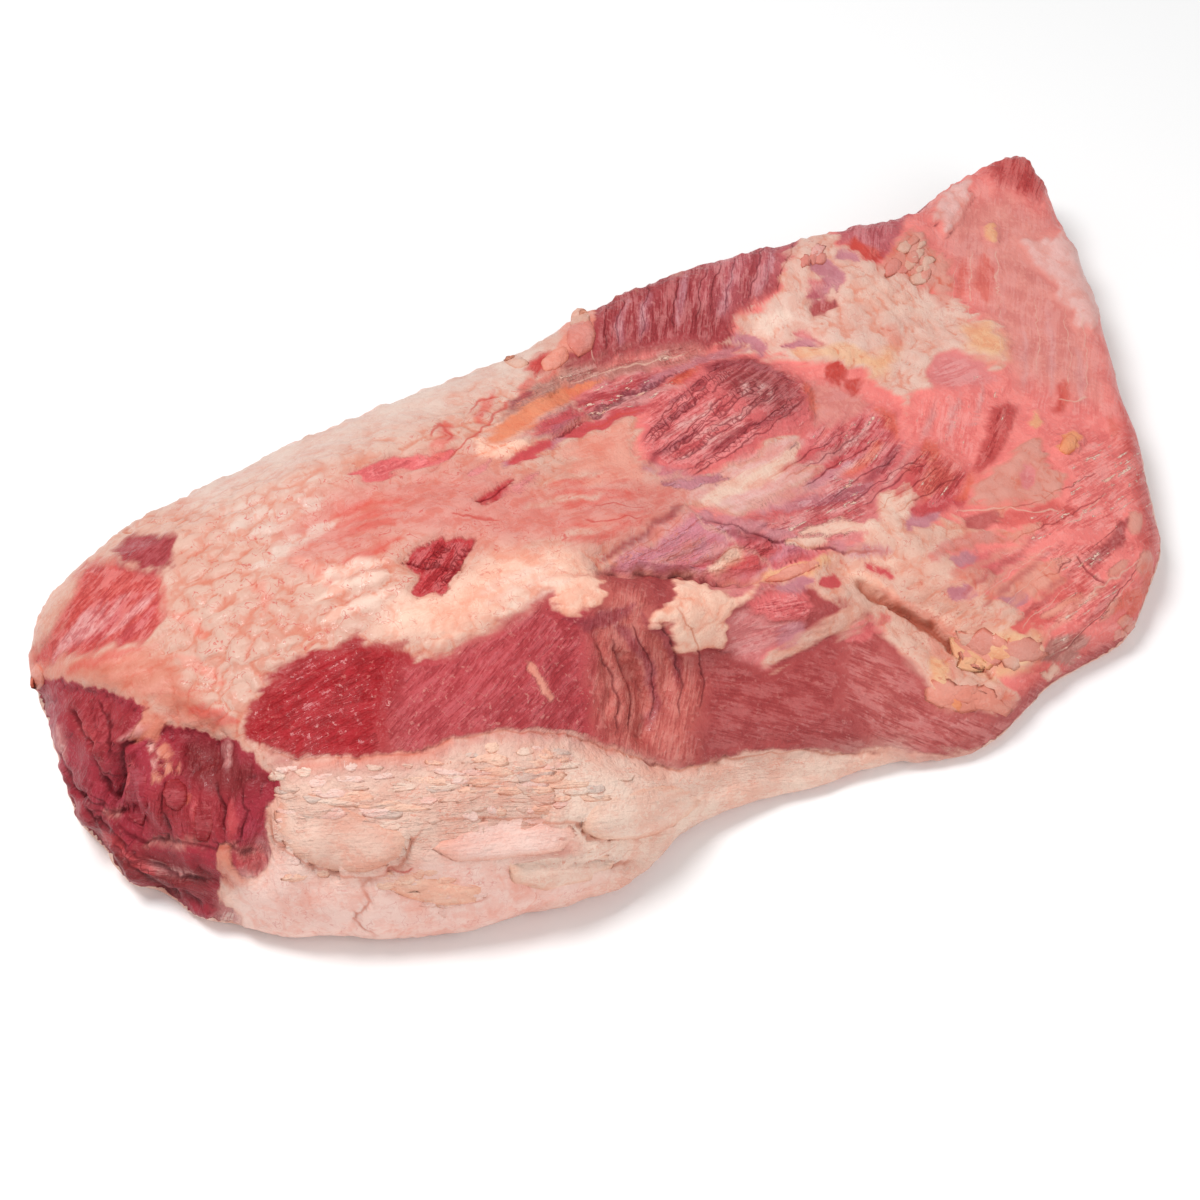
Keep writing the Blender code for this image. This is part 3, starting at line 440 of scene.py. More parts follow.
# Streaks of one tint, thick in the middle and thin at both ends: kind, tint, half width in pixels, and the
# points of one or more streaks.
STREAKS = (
    # red blotches on the fat of the point
    ("tint", "rose red", 6.0, ((430, 462), (440, 446), (448, 432), (446, 420))),
    ("tint", "rose red", 5.0, ((478, 422), (486, 406), (494, 392)), ((518, 400), (528, 386), (536, 374))),
    ("tint", "rose red", 6.0, ((540, 384), (552, 368), (562, 352))),
    ("tint", "rose red", 4.0, ((160, 574), (164, 600), (158, 622))),
    ("tint", "orange fat", 5.0, ((168, 610), (190, 622), (206, 640)),
        ((250, 580), (266, 596), (262, 618)), ((172, 654), (200, 666), (226, 684)),
        ((296, 556), (320, 572), (344, 594))),
    ("tint", "rose red", 5.0, ((190, 706), (214, 714), (238, 724))),
    ("tint", "rose red", 4.0, ((62, 670), (90, 664), (120, 652), (146, 646))),
    # tones of the large patch of fat
    ("tint", "yellow fat", 6.0, ((790, 354), (826, 352), (860, 358), (886, 368))),
    ("tint", "orange fat", 6.0, ((882, 328), (892, 336), (898, 344))),
    ("tint", "front cream", 10.0, ((838, 284), (868, 298), (900, 306), (924, 320))),
    ("tint", "warm cream", 9.0, ((742, 336), (766, 326), (790, 314))),
    ("lean", "cool lilac", 4.0, ((778, 348), (796, 344), (816, 346))),
    ("lean", "plum", 4.0, ((806, 300), (816, 296), (830, 286))),
    ("lean", "bright red", 6.0, ((828, 364), (835, 372), (838, 382))),
    ("lean", "bright red", 5.0, ((846, 380), (853, 387), (857, 395))),
    # the tongue of muscle over the main crease
    ("tint", "streak crimson", 3.0, (
        (588, 571), (604, 560), (622, 548), (640, 538), (656, 526), (672, 513), (690, 507))),
    ("tint", "streak film", 4.5, ((630, 552), (650, 540), (668, 526), (690, 516), (704, 520))),
    ("tint", "cool lilac", 3.0, ((616, 562), (640, 556), (662, 548), (684, 534))),
    ("tint", "streak film", 4.0, ((640, 566), (664, 560), (684, 550), (700, 538), (714, 530))),
    ("tint", "cool lilac", 6.0, ((688, 548), (698, 545), (707, 542))),
    ("tint", "streak film", 3.5, ((690, 566), (706, 556), (720, 546), (730, 540))),
    ("tint", "streak red", 4.5, ((690, 572), (712, 562), (732, 550), (756, 540), (778, 540))),
    ("tint", "streak red", 4.0, ((724, 574), (744, 562), (762, 550), (782, 546))),
    ("fat", "cream", 3.0, ((708, 571), (720, 562), (731, 556), (740, 551))),
    ("tint", "streak red", 3.5, ((744, 574), (764, 566), (786, 560), (806, 556), (828, 556))),
    ("tint", "streak crimson", 3.0, ((720, 532), (740, 536), (760, 538), (782, 540))),
    # around the upper crease
    ("tint", "cool lilac", 5.0, ((700, 512), (722, 520), (750, 526), (780, 532), (800, 536)),
        ((828, 546), (850, 552), (870, 553), (892, 551))),
    ("tint", "streak red", 4.0, ((742, 520), (768, 516), (800, 506), (830, 500), (858, 502), (878, 508))),
    ("tint", "cool lilac", 4.5, ((756, 512), (790, 504), (820, 498), (850, 492), (880, 484))),
    ("tint", "streak film", 3.5, ((752, 508), (780, 500), (806, 490), (840, 478))),
    ("tint", "streak red", 3.0, ((800, 522), (830, 516), (856, 514), (880, 512))),
    ("fat", "streak cream", 6.0, ((800, 532), (820, 529), (850, 526), (880, 528), (905, 534))),
    ("fat", "streak cream", 5.0, ((784, 546), (806, 542), (830, 541))),
    ("fat", "streak cream", 9.0, ((882, 530), (894, 510), (900, 496), (908, 484))),
    ("lean", "cool lilac", 6.0, ((902, 534), (914, 524), (926, 518), (940, 512))),
    ("lean", "streak red", 4.0, ((912, 514), (930, 506), (950, 502), (964, 494))),
    # the striped muscle, from its pale foot to its red head
    ("fat", "streak cream", 6.0, (
        (700, 506), (720, 494), (744, 484), (768, 474), (788, 460), (797, 446))),
    ("tint", "streak red", 4.0, ((776, 474), (794, 464), (812, 456), (838, 446), (856, 434))),
    ("tint", "streak film", 4.0, ((792, 474), (812, 464), (836, 452), (860, 436), (872, 424))),
    ("tint", "streak red", 4.0, ((806, 480), (830, 468), (850, 454), (868, 440), (882, 424))),
    ("tint", "cool lilac", 4.0, ((800, 488), (826, 478), (850, 466), (872, 450))),
    ("tint", "streak film", 3.0, ((828, 482), (852, 468), (874, 454), (890, 440))),
    ("tint", "orange red", 4.5, ((846, 478), (860, 466), (872, 452), (882, 438))),
    ("tint", "streak crimson", 3.5, ((866, 484), (882, 468), (894, 452), (904, 440))),
    ("tint", "streak film", 2.8, ((880, 488), (894, 474), (906, 458), (914, 448))),
    ("tint", "streak red", 5.0, ((894, 496), (912, 482), (926, 466), (934, 452))),
    ("tint", "orange red", 4.0, ((918, 452), (928, 446), (936, 454), (930, 462))),
    ("tint", "streak red", 6.0, ((930, 500), (946, 490), (956, 480), (966, 474))),
    ("tint", "orange red", 3.5, ((952, 502), (964, 494), (972, 482), (970, 470))),
    ("tint", "orange red", 4.0, ((872, 408), (884, 412), (893, 424), (896, 438))),
    # the dome
    ("tint", "orange red", 4.0, ((801, 386), (808, 394), (813, 406), (812, 418))),
    ("tint", "orange red", 3.5, ((662, 388), (674, 384), (688, 374), (700, 366))),
    ("tint", "streak crimson", 5.0, ((700, 372), (724, 366), (752, 366), (776, 374), (796, 386))),
    ("tint", "streak crimson", 2.6, ((642, 470), (656, 458), (676, 446), (700, 430))),
    ("tint", "streak crimson", 2.4, ((640, 440), (658, 428), (676, 418), (700, 400)),
        ((666, 408), (686, 396), (704, 384), (720, 374)),
        ((700, 458), (722, 446), (744, 432), (770, 420), (792, 408))),
    ("tint", "streak film", 2.6, ((690, 442), (714, 430), (740, 416), (764, 404)),
        ((676, 462), (700, 450), (722, 438), (748, 424))),
    ("tint", "streak film", 2.4, ((660, 440), (682, 428), (704, 414), (724, 402)),
        ((740, 384), (746, 392), (742, 402)), ((756, 380), (762, 390), (758, 400)),
        ((770, 390), (768, 400), (762, 408))),
    ("tint", "cool lilac", 5.0, ((644, 466), (664, 474), (690, 480), (716, 478))),
    ("lean", "cool lilac", 4.0, ((660, 482), (684, 486), (706, 482), (730, 480))),
    # the valley under the back rim
    ("tint", "valley brown", 4.0, ((508, 412), (540, 398), (570, 384), (610, 374), (650, 368))),
    ("fat", "amber fat", 4.0, ((502, 428), (520, 416), (548, 402), (578, 388), (606, 378))),
    ("tint", "streak crimson", 3.0, ((504, 408), (518, 400), (534, 394))),
    ("tint", "streak red", 4.5, ((520, 440), (546, 426), (574, 412), (600, 398), (626, 386), (650, 376))),
    ("tint", "streak film", 5.0, ((566, 430), (600, 414), (634, 400), (664, 390), (690, 384))),
    ("lean", "streak red", 4.0, ((546, 442), (574, 432), (602, 422), (628, 412), (646, 406))),
    ("lean", "cool lilac", 3.5, ((500, 466), (520, 456), (544, 446), (566, 438))),
    ("lean", "streak red", 3.5, ((508, 462), (530, 452), (552, 440))),
    ("tint", "cool lilac", 4.0, ((640, 384), (670, 372), (700, 362), (730, 352), (760, 346))),
    ("lean", "cool lilac", 5.0, ((730, 344), (748, 338), (764, 346), (756, 354))),
    # the flat and its right part
    ("lean", "dome red", 7.0, ((954, 562), (976, 566), (1000, 568), (1026, 562))),
    ("lean", "cool lilac", 4.5, ((950, 560), (964, 558), (978, 560))),
    ("fat", "rose fat", 4.0, ((952, 574), (972, 572), (990, 578), (1004, 580))),
    ("lean", "cool lilac", 6.0, ((948, 590), (962, 592), (978, 594))),
    ("lean", "cool lilac", 4.0, ((996, 600), (1012, 600), (1028, 596))),
    ("lean", "dusky silverskin", 8.0, ((1010, 634), (1040, 614), (1068, 596), (1092, 580))),
    ("lean", "dusky silverskin", 7.0, ((1000, 520), (1030, 518), (1056, 512), (1080, 510))),
    ("fat", "orange fat", 3.5, ((985, 524), (1000, 512), (1010, 506)),
        ((1000, 538), (1020, 534), (1040, 526))),
    ("fat", "orange fat", 3.0, ((1040, 618), (1062, 606), (1082, 594))),
    ("lean", "valley brown", 9.0, ((1042, 658), (1060, 650), (1076, 644), (1088, 640))),
    ("fat", "bright fat", 4.0, ((1040, 674), (1048, 676), (1055, 670), (1054, 662))),
    ("tint", "orange red", 7.0, ((1126, 618), (1140, 600), (1148, 580), (1150, 560))),
    ("tint", "orange red", 6.0, ((1108, 612), (1124, 604), (1136, 590))),
    ("tint", "window red", 4.0, ((966, 254), (962, 276), (958, 300))),
    ("tint", "window red", 8.0, ((984, 252), (986, 272), (984, 300))),
    ("fat", "orange fat", 3.5, ((1010, 588), (1030, 578), (1052, 566), (1066, 556))),
    ("fat", "rose fat", 3.5, ((1098, 622), (1110, 610), (1120, 596))),
    ("lean", "plain lean", 5.0, ((1088, 566), (1102, 552), (1118, 536), (1126, 520))),
    ("lean", "rosy lean", 5.0, ((960, 528), (980, 522), (1000, 514))),
    ("fat", "bright fat", 7.0, ((930, 600), (950, 606), (974, 612), (1000, 618))),
    # the crevice of the fat, with painted shade along it: an orange band, a brown line, and brown pits
    ("tint", "orange fat", 9.0, ((876, 590), (904, 606), (934, 626), (962, 648), (996, 676))),
    ("tint", "rust brown", 4.5, (
        (852, 582), (881, 600), (907, 614), (925, 626), (944, 640), (955, 651), (974, 663), (996, 684))),
    ("tint", "rust brown", 5.0, ((966, 646), (974, 654), (984, 660))),
    ("tint", "orange fat", 8.0, ((930, 640), (944, 662), (952, 682))),
    ("fat", "yellow fat", 6.0, ((930, 660), (942, 680), (950, 694))),
    ("fat", "bright fat", 6.0, ((862, 566), (884, 574), (908, 590), (934, 606))),
    ("fat", "point pink", 5.0, ((930, 560), (950, 548), (980, 540), (1010, 538))),
    ("lean", "streak red", 3.5, ((860, 566), (880, 572), (896, 576))),
    # silverskin and blotches of the flat
    ("tint", "streak film", 3.0, ((1046, 300), (1050, 330), (1052, 366), (1050, 396)),
        ((1076, 340), (1082, 372), (1084, 404))),
    ("tint", "streak film", 2.6, ((1024, 330), (1026, 356), (1026, 388)),
        ((936, 400), (930, 420), (922, 440)), ((962, 392), (954, 416), (944, 440)),
        ((984, 384), (980, 404), (972, 428))),
    ("tint", "tip red", 8.0, ((1004, 402), (1006, 420), (998, 442), (984, 464))),
    ("tint", "window red", 4.0, ((1064, 376), (1068, 392), (1064, 408))),
    ("tint", "window red", 3.5, ((1108, 412), (1114, 426), (1118, 440))),
    ("lean", "cool lilac", 7.0, ((806, 262), (822, 268), (834, 280), (826, 292))),
    ("lean", "cool lilac", 4.0, ((836, 256), (848, 256), (858, 262))),
    ("lean", "bright red", 5.0, ((848, 246), (860, 250), (872, 254), (884, 256))),
    # the lean band
    ("tint", "streak crimson", 5.0, ((612, 620), (632, 640), (650, 668), (656, 700), (650, 730))),
    ("tint", "streak crimson", 3.5, ((640, 612), (664, 636), (678, 664), (680, 694))),
    ("tint", "streak crimson", 6.0, ((560, 620), (590, 624), (616, 616), (636, 604))),
    ("fat", "orange fat", 3.5, ((526, 660), (538, 676), (546, 690), (554, 704))),
    ("tint", "crimson", 8.0, ((250, 728), (280, 734), (320, 738), (360, 744))),
    ("fat", "point cream", 3.0, ((412, 664), (424, 656), (440, 650), (458, 642))),
    ("fat", "orange fat", 3.0, ((300, 762), (340, 763), (384, 760), (424, 750), (460, 740))),
    ("tint", "dome red", 9.0, ((846, 640), (862, 630), (878, 624), (882, 634))),
    ("tint", "cool lilac", 8.0, ((804, 622), (790, 636), (776, 648))),
    ("lean", "streak red", 4.5, ((820, 582), (832, 580), (842, 586))),
    ("lean", "cool lilac", 4.0, ((776, 590), (796, 584), (816, 580))),
    # the end cut
    ("tint", "streak film", 3.5, ((118, 740), (134, 732), (150, 728))),
    ("tint", "streak film", 3.0, ((58, 724), (60, 744), (66, 764))),
    ("tint", "streak film", 2.6, ((226, 740), (224, 754), (226, 768))),
    ("tint", "point pink", 3.5, ((102, 812), (112, 814), (122, 816)),
        ((130, 846), (156, 845), (182, 847), (208, 848)), ((214, 850), (238, 852), (262, 854))),
    ("lean", "cut red", 3.5, ((150, 744), (158, 760), (160, 782))),
    ("lean", "cut red", 3.0, ((168, 750), (176, 764), (178, 780))),
    ("fat", "white fat", 3.0, ((146, 742), (152, 754), (152, 768))),
    ("tint", "streak red", 7.0, ((236, 862), (252, 864), (266, 858))),
    ("fat", "orange red", 3.5, ((182, 788), (186, 800), (190, 806))),
    ("tint", "streak red", 5.0, ((128, 758), (132, 784), (138, 810)),
        ((196, 800), (200, 820), (200, 840))),
    ("tint", "streak red", 4.0, ((230, 800), (234, 820), (232, 842))),
    ("tint", "streak red", 5.0, ((76, 716), (86, 738), (92, 760))),
    ("tint", "streak film", 2.6, ((128, 862), (160, 874), (196, 878))),
    ("tint", "streak red", 4.0, ((96, 830), (122, 856), (156, 880))),
)

# Rows of such streaks between a first and a last one: kind, tint, half width, how many, the two streaks
ROWS = (
    ("tint", "warm cream", 4.5, 3, ((300, 590), (340, 570), (388, 558)),
        ((320, 630), (356, 612), (396, 602))),
    ("tint", "warm cream", 4.5, 3, ((478, 596), (514, 578), (560, 562)),
        ((490, 624), (530, 604), (570, 584))),
    ("tint", "rose red", 2.6, 4, ((330, 520), (366, 506), (402, 500)),
        ((336, 560), (370, 546), (402, 534))),
    ("tint", "point cream", 4.0, 4, ((524, 470), (562, 462), (600, 462)),
        ((520, 540), (570, 530), (620, 512))),
    ("tint", "rose red", 2.6, 5, ((548, 486), (590, 480), (634, 484)),
        ((560, 536), (600, 534), (650, 516))),
    ("tint", "orange fat", 4.0, 4, ((560, 450), (596, 438), (626, 426)),
        ((580, 480), (616, 474), (644, 470))),
    ("tint", "pale cream", 5.0, 4, ((220, 520), (270, 496), (320, 474)),
        ((240, 570), (290, 540), (340, 515))),
    ("tint", "orange fat", 3.5, 4, ((96, 664), (120, 660), (146, 656)),
        ((150, 706), (180, 712), (212, 722))),
    ("tint", "streak red", 3.0, 4, ((56, 650), (80, 620), (110, 590)),
        ((100, 648), (130, 625), (156, 598))),
    ("tint", "veil", 3.0, 4, ((50, 656), (70, 632), (100, 600)), ((96, 640), (126, 616), (150, 590))),
    ("tint", "rosy lean", 3.0, 4, ((960, 596), (1000, 566), (1046, 530)),
        ((1050, 650), (1090, 606), (1130, 560))),
    ("tint", "orange fat", 3.0, 4, ((940, 590), (980, 566), (1026, 540)),
        ((1030, 640), (1070, 600), (1120, 566))),
    ("tint", "rim plum", 3.0, 6, ((610, 350), (608, 330), (612, 305)),
        ((762, 298), (768, 272), (782, 240))),
    ("tint", "cool lilac", 3.0, 5, ((622, 348), (620, 328), (628, 296)),
        ((744, 306), (752, 282), (764, 250))),
)

# Creases, folds, sinews and vessels. Each line gives its kind, its half width in pixels, how deep it is and
# how far the side on its left hand stands out, both in millimetres, and its points in the picture's pixels.
# The material paints shade along each crease; a fold is only carved.
LINES = {
    "main crease": ("crease", 3.4, 3.2, 1.2, (
        (592, 574), (620, 571), (659, 573), (696, 579), (733, 580), (757, 578), (775, 571))),
    "upper crease": ("crease", 2.6, 1.4, 0.5, (
        (698, 515), (720, 520), (742, 529), (770, 539), (800, 545), (829, 550), (859, 553), (892, 551))),
    "crevice": ("crease", 4.6, 3.6, 0.8, (
        (848, 578), (881, 600), (907, 614), (925, 626), (944, 640), (955, 651), (974, 663), (996, 684))),
    "under the lean band": ("crease", 2.0, 1.0, 1.2, (
        (241, 732), (257, 749), (296, 758), (347, 759), (391, 756), (440, 745), (470, 735), (506, 731),
        (560, 734), (600, 746), (630, 757), (678, 772), (722, 759), (803, 752), (900, 753))),
    "dark slit": ("crease", 2.2, 1.2, 0.3, ((402, 561), (430, 563), (462, 567))),
    "small slit": ("crease", 1.8, 0.8, 0.0, ((476, 502), (494, 491), (512, 480))),
    "upper fold": ("crease", 3.4, 2.0, 2.4, (
        (423, 820), (474, 817), (519, 818), (544, 822), (576, 823), (589, 838), (614, 839), (646, 834),
        (672, 833))),
    "lower fold": ("crease", 3.4, 2.0, 2.2, ((500, 872), (535, 865), (583, 861), (618, 864), (640, 858))),
    "flake lip": ("crease", 2.6, 1.6, 2.2, (
        (268, 800), (271, 825), (276, 842), (290, 855), (308, 865), (340, 877), (372, 879), (398, 869),
        (412, 845), (426, 822))),
    "lower flap": ("crease", 2.6, 1.4, 1.8, ((398, 884), (423, 892), (442, 901), (471, 904), (492, 896))),
    "crack": ("crease", 2.2, 1.2, 0.5, ((359, 884), (369, 903), (353, 919), (377, 934))),
    "end cut, cleft": ("crease", 3.4, 3.2, 0.8, (
        (66, 704), (74, 722), (87, 749), (92, 768), (104, 786), (122, 806))),
    "end cut, deep cleft": ("crease", 4.0, 3.6, 1.0, (
        (147, 733), (122, 746), (118, 765), (118, 785), (116, 806))),
    "end cut, side": ("crease", 3.0, 2.4, 0.5, ((53, 748), (65, 773), (81, 806), (100, 838))),
    "end cut, step": ("crease", 2.8, 2.0, 0.6, ((59, 781), (85, 800), (118, 814), (150, 806))),
    "end cut, column": ("crease", 3.0, 2.2, 0.0, ((158, 790), (160, 806), (164, 842))),
    "end cut, middle column": ("crease", 2.8, 1.8, 0.0, ((214, 778), (220, 806), (219, 846))),
    "end cut, right column": ("crease", 2.4, 1.4, 0.0, ((243, 786), (246, 812), (241, 846))),
    "end cut, shelf": ("crease", 3.2, 2.8, -1.2, (
        (112, 822), (126, 834), (142, 844), (171, 844), (195, 848), (230, 851), (268, 853))),
    "end cut, lower shelf": ("crease", 3.0, 2.4, -0.8, (
        (87, 808), (118, 846), (145, 868), (180, 880), (216, 884))),
    "end cut, foot": ("crease", 3.0, 2.2, -0.8, ((104, 838), (126, 868), (163, 892), (206, 912))),
    "end cut, branch": ("crease", 2.4, 1.6, 0.4, ((96, 698), (108, 718), (106, 742), (112, 760))),
    "lean fold": ("fold", 6.0, 2.4, 1.2, ((612, 640), (624, 662), (640, 690), (645, 720), (640, 750))),
    "lean fold, left": ("fold", 5.0, 1.8, 0.8, ((588, 622), (604, 650), (612, 690), (606, 730))),
    "lean fold, right": ("fold", 4.5, 1.4, 0.5, ((640, 626), (662, 652), (668, 690), (664, 716))),
    "right edge crease": ("crease", 2.4, 1.2, 0.4, ((1076, 556), (1090, 572), (1110, 584))),
    "rim seam": ("sinew", 1.2, -0.4, 0.0, ((592, 322), (593, 340), (592, 360))),
    "silverskin seam": ("sinew", 1.2, -0.3, 0.0, ((973, 250), (971, 275), (968, 302))),
    "silverskin seam, right": ("sinew", 1.2, -0.3, 0.0, ((996, 250), (998, 272), (997, 296))),
    "red slit tail": ("vein", 2.4, 0.4, 0.0, (
        (447, 460), (466, 442), (480, 431), (497, 412), (512, 398))),
    "red tangle": ("vein", 2.6, 0.3, 0.0, ((430, 440), (440, 424), (452, 432), (446, 444))),
    "red line": ("vein", 2.0, 0.3, 0.0, ((584, 429), (612, 417), (642, 410))),
    "red under the fat": ("vein", 1.8, 0.4, 0.0, ((386, 871), (398, 872), (412, 867))),
    "red stroke": ("vein", 1.1, 0.2, 0.0, ((590, 506), (610, 505), (630, 508), (648, 506))),
    "red stroke, lower": ("vein", 1.1, 0.2, 0.0, ((584, 520), (606, 522), (624, 519), (644, 521))),
    "red stroke, left": ("vein", 1.1, 0.2, 0.0, ((448, 515), (470, 519), (502, 518))),
    "sinew over the valley": ("sinew", 1.4, -0.3, 0.0, (
        (564, 386), (596, 374), (630, 366), (668, 356), (690, 352))),
    "sinew across the flat": ("sinew", 1.4, -0.3, 0.0, (
        (950, 512), (980, 509), (1010, 508), (1040, 512), (1062, 512))),
    "sinew across the flat, right end": ("sinew", 1.4, -0.3, 0.0, (
        (1062, 528), (1078, 518), (1090, 506), (1102, 496))),
    "sinew by the right edge": ("sinew", 1.4, -0.3, 0.0, (
        (1086, 596), (1104, 586), (1122, 574), (1140, 560))),
    "short sinew of the flat": ("sinew", 1.4, -0.3, 0.0, ((1056, 398), (1074, 400), (1090, 396))),
    "red mark by the back rim": ("vein", 2.2, 0.3, 0.0, ((468, 415), (480, 402), (496, 392))),
}

# Rows of creases between a first and a last one: kind, half width, depth, lip, how many, and the two lines
RIDGES = (
    ("crease", 1.5, 0.7, 0.3, 10, ((640, 446), (662, 418), (690, 392), (722, 366)),
        ((684, 476), (720, 456), (760, 430), (804, 398))),
    ("crease", 1.5, 0.6, 0.3, 8, ((768, 480), (796, 462), (822, 446), (850, 426)),
        ((896, 520), (922, 500), (944, 486), (966, 474))),
    ("crease", 1.6, 0.5, 0.2, 9, ((606, 352), (604, 330), (608, 300)),
        ((772, 296), (778, 270), (792, 236))),
    ("crease", 1.4, 0.5, 0.2, 7, ((546, 442), (584, 420), (628, 398)),
        ((600, 404), (640, 384), (690, 366))),
    ("crease", 1.4, 0.5, 0.2, 5, ((616, 560), (650, 540), (690, 512)),
        ((700, 574), (730, 558), (770, 544))),
    ("sinew", 0.8, -0.2, 0.0, 6, ((956, 262), (950, 300), (944, 340)),
        ((1080, 310), (1088, 350), (1088, 396))),
    ("sinew", 0.9, -0.2, 0.0, 4, ((968, 606), (1010, 574), (1060, 536)),
        ((1050, 650), (1096, 608), (1136, 568))),
    ("crease", 1.4, 0.5, 0.3, 4, ((990, 512), (1040, 500), (1100, 470)),
        ((1060, 640), (1100, 600), (1140, 556))),
    ("crease", 1.6, 0.6, 0.2, 6, ((420, 560), (432, 552), (446, 540)),
        ((440, 592), (456, 572), (474, 542))),
    ("crease", 2.2, 1.0, 0.5, 5, ((598, 640), (612, 670), (620, 700), (616, 736)),
        ((668, 606), (688, 640), (698, 680), (692, 716))),
)

# Flaky fat on the front: outline, how many flakes, and their tints
FLAKY = (
    (((272, 768), (330, 760), (400, 765), (470, 742), (560, 745), (600, 770), (600, 800), (500, 812),
         (400, 830), (330, 850), (285, 840)), 95,
        ("front cream", "warm cream", "cream", "pale cream", "pink cream")),
    (((480, 750), (600, 760), (700, 795), (760, 785), (700, 810), (560, 815), (480, 810)), 18,
        ("warm cream", "cream")),
    (((290, 856), (360, 884), (470, 856), (540, 856), (480, 900), (420, 916), (320, 916), (280, 890)), 14,
        ("pink cream", "cream")),
)

# Between which widths and heights in pixels, turns in degrees and thicknesses in mm the flakes are drawn
FLAKE_SEED = 4
FLAKE_WIDTHS = (24, 80)
FLAKE_HEIGHTS = (9, 20)
FLAKE_TURNS = (-12, 14)
FLAKE_THICKNESS = (0.4, 1.1)

# Thick folds of the front fat: tint, thickness in mm, slope, outline. A slope of 1 sinks the upper edge.
FOLDS = (
    ("warm cream", 2.6, 0.9, (
        (586, 806), (620, 792), (668, 784), (710, 790), (704, 802), (684, 820), (664, 832), (628, 842),
        (598, 840), (580, 832))),
    ("pink cream", 1.8, 1.0, (
        (480, 822), (530, 814), (566, 820), (580, 836), (560, 852), (500, 860), (452, 862), (430, 848),
        (450, 836))),
    ("warm cream", 2.0, 1.0, (
        (506, 862), (540, 854), (590, 852), (622, 858), (612, 868), (590, 880), (546, 890), (512, 884))),
    ("front cream", 1.8, 1.0, (
        (272, 800), (290, 790), (330, 798), (372, 820), (412, 836), (404, 858), (372, 872), (330, 872),
        (296, 858), (276, 836))),
    ("cream", 1.4, 1.0, (
        (362, 872), (390, 872), (440, 880), (486, 886), (480, 902), (440, 906), (400, 896))),
)

# Tags, knobs and edges of fat: tint, thickness in mm, slope, outline
TAGS = (
    ("point pink", 1.2, 0.0, (
        (566, 344), (567, 330), (574, 322), (584, 318), (592, 322), (596, 334), (592, 350), (578, 358))),
    ("point cream", 1.2, 0.0, (
        (570, 326), (571, 316), (577, 309), (584, 308), (590, 314), (590, 324), (580, 330))),
    ("orange fat", 0.8, 0.0, ((540, 362), (552, 350), (566, 345), (570, 358), (558, 369), (544, 372))),
    ("point cream", 1.2, 0.0, ((503, 362), (506, 356), (514, 355), (523, 358), (530, 364), (518, 370))),
    ("orange lump", 1.6, 0.2, (
        (1058, 451), (1062, 440), (1070, 432), (1077, 438), (1076, 450), (1067, 456))),
    ("orange fat", 1.0, 0.0, ((30, 688), (31, 672), (37, 662), (43, 670), (45, 684), (38, 690))),
    ("orange fat", 1.4, 0.9, (
        (762, 582), (778, 571), (800, 562), (820, 556), (829, 560), (808, 572), (784, 582))),
)

# Clusters of small lumps: outline, how many, width in pixels, turn in degrees, thickness in mm, tints
LUMP_SEED = 9
LUMPY = (
    (((890, 264), (898, 248), (915, 236), (928, 250), (944, 270), (944, 290), (925, 282), (902, 270)), 13,
        23, 45, 1.2, ("rose fat", "point cream", "point pink")),
    (((958, 655), (970, 644), (1015, 638), (1034, 646), (1028, 658), (995, 670), (974, 666)), 12, 44, -24,
        1.1, ("yellow fat", "orange fat", "point cream", "rose fat")),
    (((938, 696), (960, 688), (1006, 692), (1002, 704), (960, 706)), 9, 40, -14, 1.1,
        ("orange lump", "orange fat", "orange fat")),
    (((1116, 634), (1122, 618), (1132, 614), (1132, 628), (1122, 638)), 6, 18, 40, 1.4,
        ("rose fat", "point pink")),
    (((780, 262), (790, 254), (812, 250), (826, 252), (832, 258), (812, 264)), 6, 20, 60, 1.2,
        ("white fat", "point pink")),
)

# How much the rim and underside of a lump are darkened in red, green and blue, a warm painted shade, and how
# deep its foot is buried, in mm
RIM_SHADE = (0.04, 0.22, 0.30)
FOOT = 1.5

# A hollow this deep, in mm, counts as 1 in the material's painted shade of hollows
SHALLOW = 0.35

# Small lumps of lean on the cut end: tint, thickness in mm, slope, outline
LEAN_LUMPS = (
    ("cut red", 2.0, 0.0, (
        (163, 792), (167, 780), (178, 778), (187, 786), (188, 800), (179, 812), (167, 806))),
    ("cut red", 1.6, 0.8, (
        (196, 800), (204, 796), (212, 804), (213, 828), (208, 842), (197, 840), (194, 820))),
    ("cut wine", 1.6, 0.8, (
        (128, 766), (137, 760), (146, 768), (148, 800), (144, 826), (131, 822), (126, 794))),
)


def length(name, description, default):
    """A length that the panel shows in the scene's units."""
    return bpy.props.FloatProperty(
        name=name, description=description, default=default, unit="LENGTH", subtype="DISTANCE")


class BrisketSkin(bpy.types.PropertyGroup):
    """Sizes of the skin's relief."""

    levels: bpy.props.IntProperty(
        name="Subdivision", description="Times that each face of the packed solid is split",
        default=2, min=0, max=3)
    fat_step: length("Fat step", "How far fat stands over the lean beside it", 0.9 * MM)
    lobe_height: length("Lobe height", "Depth of the dimples between lobes", 1.1 * MM)
    flake: length("Flake spacing", "Distance between the ledges of flaky fat", 6 * MM)
    flake_height: length("Flake height", "Height of one ledge of flaky fat", 1.3 * MM)
    furrow: length("Furrow spacing", "Distance between the coarse bundles of fibres", 3.2 * MM)
    furrow_depth: length("Furrow depth", "Depth between two bundles of fibres", 1.0 * MM)
    rim_rag: length("Ragged rim", "Height of the bumps along the back edge", 1.3 * MM)
    chunk: length("Chunk", "Width of a torn chunk on the cut end", 11 * MM)
    chunk_depth: length("Chunk depth", "Depth of the fissures between chunks", 1.4 * MM)


